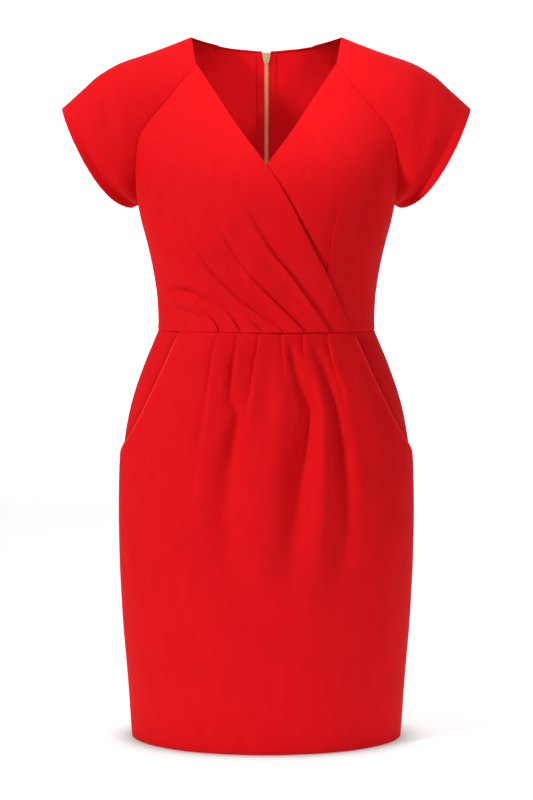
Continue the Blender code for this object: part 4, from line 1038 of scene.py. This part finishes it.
def red_crepe():
    finish = Finish("red_crepe", (0.72, 0.004, 0.008), Roughness=0.80, Sheen_Weight=0.05,
                    Sheen_Roughness=0.45, Sheen_Tint=(1.0, 0.22, 0.20, 1), Specular_IOR_Level=0.10)
    pebble = finish.noise(1500, 3.0, 0.6)
    crinkle = finish.noise(620, 2.0, 0.5, (1.0, 1.0, 0.55))
    slub = finish.noise(90, 3.0, 0.5, (1.0, 1.0, 0.25))
    tone = finish.noise(14, 2.0, 0.5)
    shade = ((0.25 * pebble + 0.30 * crinkle + 0.30 * slub + 0.15 * tone) * 2.2 - 0.60).clipped()
    color = finish.mixed(shade, (0.650, 0.0014, 0.0048, 1), (0.800, 0.0048, 0.0090, 1))
    # Painted highlight (above 0) along the pocket edge and painted shade (below 0) on the yoke beside it,
    # read from the mesh.
    painted_share = finish.node("ShaderNodeAttribute", {"attribute_name": "painted_light_and_shade"}, output=2)
    color = finish.mixed((painted_share * 0.8).clipped(), color, (0.95, 0.020, 0.026, 1))
    color = finish.mixed((painted_share * -0.5).clipped(), color, (0.30, 0.0005, 0.002, 1))
    grain = pebble * 0.55 + crinkle * 0.45
    return finish.set(Base_Color=color, Roughness=0.74 + 0.14 * pebble,
                      Normal=finish.bump(grain, 0.00035, 0.55))


def zip_cloth():
    finish = Finish("zip_tape_weave", (0.62, 0.005, 0.010), Roughness=0.85, Specular_IOR_Level=0.10)
    ribs = finish.node("ShaderNodeTexWave", {"bands_direction": "Z", "wave_profile": "SIN"},
                       {"Vector": finish.place(), "Scale": 320.0, "Distortion": 0.4})
    threads = finish.node("ShaderNodeTexWave", {"bands_direction": "X", "wave_profile": "SIN"},
                          {"Vector": finish.place(), "Scale": 260.0, "Distortion": 0.2})
    weave = ribs * 0.6 + threads * 0.4
    color = finish.mixed(weave, (0.60, 0.002, 0.006, 1), (0.76, 0.005, 0.010, 1))
    return finish.set(Base_Color=color, Normal=finish.bump(weave, 0.0002, 0.7))


def brass(name, rough, worn, bright):
    finish = Finish(name, bright[:3], Metallic=0.65, Roughness=rough)
    wear = finish.noise(240, 4.0, 0.6)
    lines = finish.noise(2600, 2.0, 0.5, (1.0, 1.0, 0.06))
    color = finish.mixed(wear, worn, bright)
    return finish.set(Base_Color=color, Roughness=rough - 0.06 + 0.16 * wear + 0.05 * lines,
                      Normal=finish.bump(lines, 0.00005, 0.35))


def sewing_thread():
    finish = Finish("sewing_thread", (0.66, 0.004, 0.008), Roughness=0.75, Specular_IOR_Level=0.15)
    twist = finish.node("ShaderNodeTexWave", {"bands_direction": "DIAGONAL"},
                        {"Vector": finish.place(), "Scale": 900.0})
    return finish.set(Base_Color=finish.mixed(twist, (0.58, 0.002, 0.006, 1), (0.72, 0.005, 0.010, 1)),
                      Normal=finish.bump(twist, 0.0001, 0.6))


CREPE = red_crepe()
ZIP_CLOTH = zip_cloth()
BRASS = brass("zip_brass_polished", 0.30, (0.84, 0.60, 0.33, 1), (0.98, 0.78, 0.48, 1))
TEETH_BRASS = brass("zip_brass_teeth", 0.48, (0.86, 0.52, 0.26, 1), (1.00, 0.72, 0.40, 1))
THREAD = sewing_thread()

# ------------------------------------------------------------------ camera
# In front of the bust and tilted down a little, with the dress as large as in the photograph.
CAMERA = bpy.data.objects.new("camera", bpy.data.cameras.new("camera"))
bpy.context.scene.collection.objects.link(CAMERA)
CAMERA.location = (0.00026, -2.9, -0.24262)
CAMERA.rotation_euler = (math.radians(90 - 4.5103), 0, 0)
CAMERA.data.lens = 99.83
CAMERA.data.sensor_width = 36
CAMERA.data.clip_end = 50
bpy.context.scene.camera = CAMERA

# ------------------------------------------------------------------ dress
def both(name, grid, node, flat, area, above_left, above_right):
    """Rows of PANELS for a piece of the wearer's left and its mirror image."""
    return ((name + "_left", grid, node + "_left", flat, area, above_left),
            (name + "_right", mirrored(grid), node + "_right", flat, area, above_right))


# Each row: piece, its grid, the node it replaces, the cut of what shows (width, length) in m
# and its area in m2, and the pieces that it hangs from.
SLEEVES = ("cap_sleeve_left", "cap_sleeve_right")
PANELS = (
    ("over_panel", bodice_over(), "bodice_front_right", (0.367, 0.429), 0.0827, SLEEVES),
    ("under_panel", bodice_under(), "bodice_front_left", (0.332, 0.426), 0.0804, SLEEVES),
    *both("back_bodice", bodice_back(), "bodice_back", (0.236, 0.450), 0.0692,
          ("cap_sleeve_left",), ("cap_sleeve_right",)),
    *both("cap_sleeve", sleeve(), "sleeve", (0.442, 0.301), 0.0602, (), ()),
    ("skirt_front_panel", skirt_front(), "skirt_front", (0.558, 0.622), 0.2773,
     ("over_panel", "under_panel")),
    *both("skirt_back_panel", skirt_back(), "skirt_back", (0.283, 0.587), 0.1515,
          ("back_bodice_left",), ("back_bodice_right",)),
    *both("hip_yoke_panel", hip_yoke(), "hip_yoke", (0.139, 0.278), 0.0268,
          ("under_panel",), ("over_panel",)),
)
for name, grid, node, *_ in PANELS:
    finished(cloth_piece(name, grid, CREPE), node)
for name, _, _, flat, area, above in PANELS:
    list(above)

for side, hand, grid in ((1, "left", zip_tape()), (-1, "right", mirrored(zip_tape()))):
    tape = finished(cloth_piece("tape_" + hand, grid, ZIP_CLOTH, TAPE_CLOTH), "zip_tape_" + hand)
    rows = finished(zip_stitches("zip_stitches_" + hand, side, THREAD), None)
    "back_bodice_" + hand
    "skirt_back_panel_" + hand

finished(zip_teeth(TEETH_BRASS), "zip_chain")
for name in ("zip_slider", "zip_pull"):
    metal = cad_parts[name]
    for slot in metal.material_slots:
        slot.material = BRASS

# ------------------------------------------------------------------ floor and light
def grey(share):
    return (share, share, share, 1)


def backdrop():
    """Floor that bends up into a wall behind."""
    level = HEM - 0.0012
    half_width, bend_start, radius, wall_top = 30.0, 4.4, 1.5, 14.0
    bend = [(-half_width, level), (bend_start, level)]
    bend += [(bend_start + radius * math.sin(a), level + radius * (1 - math.cos(a)))
             for a in np.linspace(0, math.pi / 2, 13)[1:]]
    bend.append((bend_start + radius, wall_top))
    points = [(x, y, z) for y, z in bend for x in (-half_width, half_width)]
    faces = [(2 * i, 2 * i + 1, 2 * i + 3, 2 * i + 2) for i in range(len(bend) - 1)]
    paper = Finish("backdrop_paper", (0.55, 0.55, 0.55), Roughness=0.9, Specular_IOR_Level=0.1,
                   Emission_Strength=0.72)
    # Painted shadow: the paper's colour and glow are darkest round the hem's footprint.
    x, y = (paper.node("ShaderNodeSeparateXYZ", {}, {0: paper.place()}, output=i) for i in (0, 1))
    hem_half_width, hem_half_depth = 0.172, 0.116
    away = ((x / hem_half_width) ** 2.0 + (y / hem_half_depth) ** 2.0) ** 0.5
    under = (1.0 - (away - 0.95) / 0.42).clipped() ** 2.2
    # It glows only round and behind the dress, so that the light on the cloth keeps its direction.
    near = ((1.55 + y * 0.14 - (x * x) ** 0.5) / 1.15).clipped() * ((y + 1.5) / 1.1).clipped()
    glow = paper.mixed(near, grey(0.30), grey(1))
    # The paper's colour is also paler where it glows: a painted pool of light.
    pale = paper.mixed(near, grey(0.40), grey(0.50))
    # Painted shadow under the hem, in both the paper's colour and its glow.
    return mesh_object("backdrop", points, faces, paper.set(
        Base_Color=paper.mixed(under, pale, (0.16, 0.17, 0.17, 1)),
        Emission_Color=paper.mixed(under, glow, (0.12, 0.13, 0.13, 1))))


backdrop()


def lamp(kind, name, at, power, target):
    light = bpy.data.lights.new(name, kind)
    light.energy = power
    obj = bpy.data.objects.new(name, light)
    bpy.context.scene.collection.objects.link(obj)
    obj.location = at
    away = np.array(at) - np.array(target)
    pitch = math.atan2(math.hypot(away[0], away[1]), away[2])
    obj.rotation_euler = (pitch, 0, math.atan2(away[0], -away[1]))
    return light


def softbox(name, at, size, power, target=(0, 0, -0.45)):
    light = lamp("AREA", name, at, power, target)
    light.shape = "RECTANGLE"
    light.size, light.size_y = size


def soft_spot(name, at, cone, radius, power, target):
    """A round lamp that fades from its middle to the edge of its cone, in degrees."""
    light = lamp("SPOT", name, at, power, target)
    light.spot_size, light.spot_blend, light.shadow_soft_size = math.radians(cone), 1.0, radius


soft_spot("key_light", (-2.4, -1.9, 1.2), 36, 0.28, 355, (-0.05, 0, -0.32))
softbox("fill_light", (1.9, -2.1, 0.3), (1.2, 1.2), 19, (0, 0, -0.20))
softbox("top_light", (-0.1, 0.05, 2.3), (1.0, 1.0), 24)
softbox("side_light", (2.6, 0.3, 0.4), (0.8, 1.6), 5)
softbox("back_light", (0.4, 2.0, 1.4), (1.6, 1.2), 10)
softbox("backdrop_light", (0.0, 3.4, 0.9), (2.4, 1.2), 110, (0, 5.6, -0.3))
soft_spot("neck_light", (0.22, -2.0, 0.55), 8, 0.10, 95, (0.0, 0.07, -0.085))
soft_spot("neck_side_light", (1.2, -1.55, 0.70), 9, 0.12, 70, (-0.01, 0.07, -0.06))

world = bpy.data.worlds.new("studio")
world.use_nodes = True
world.node_tree.nodes["Background"].inputs["Color"].default_value = (1, 1, 1, 1)
world.node_tree.nodes["Background"].inputs["Strength"].default_value = 0.07
bpy.context.scene.world = world
bpy.context.scene.view_settings.view_transform = "Standard"
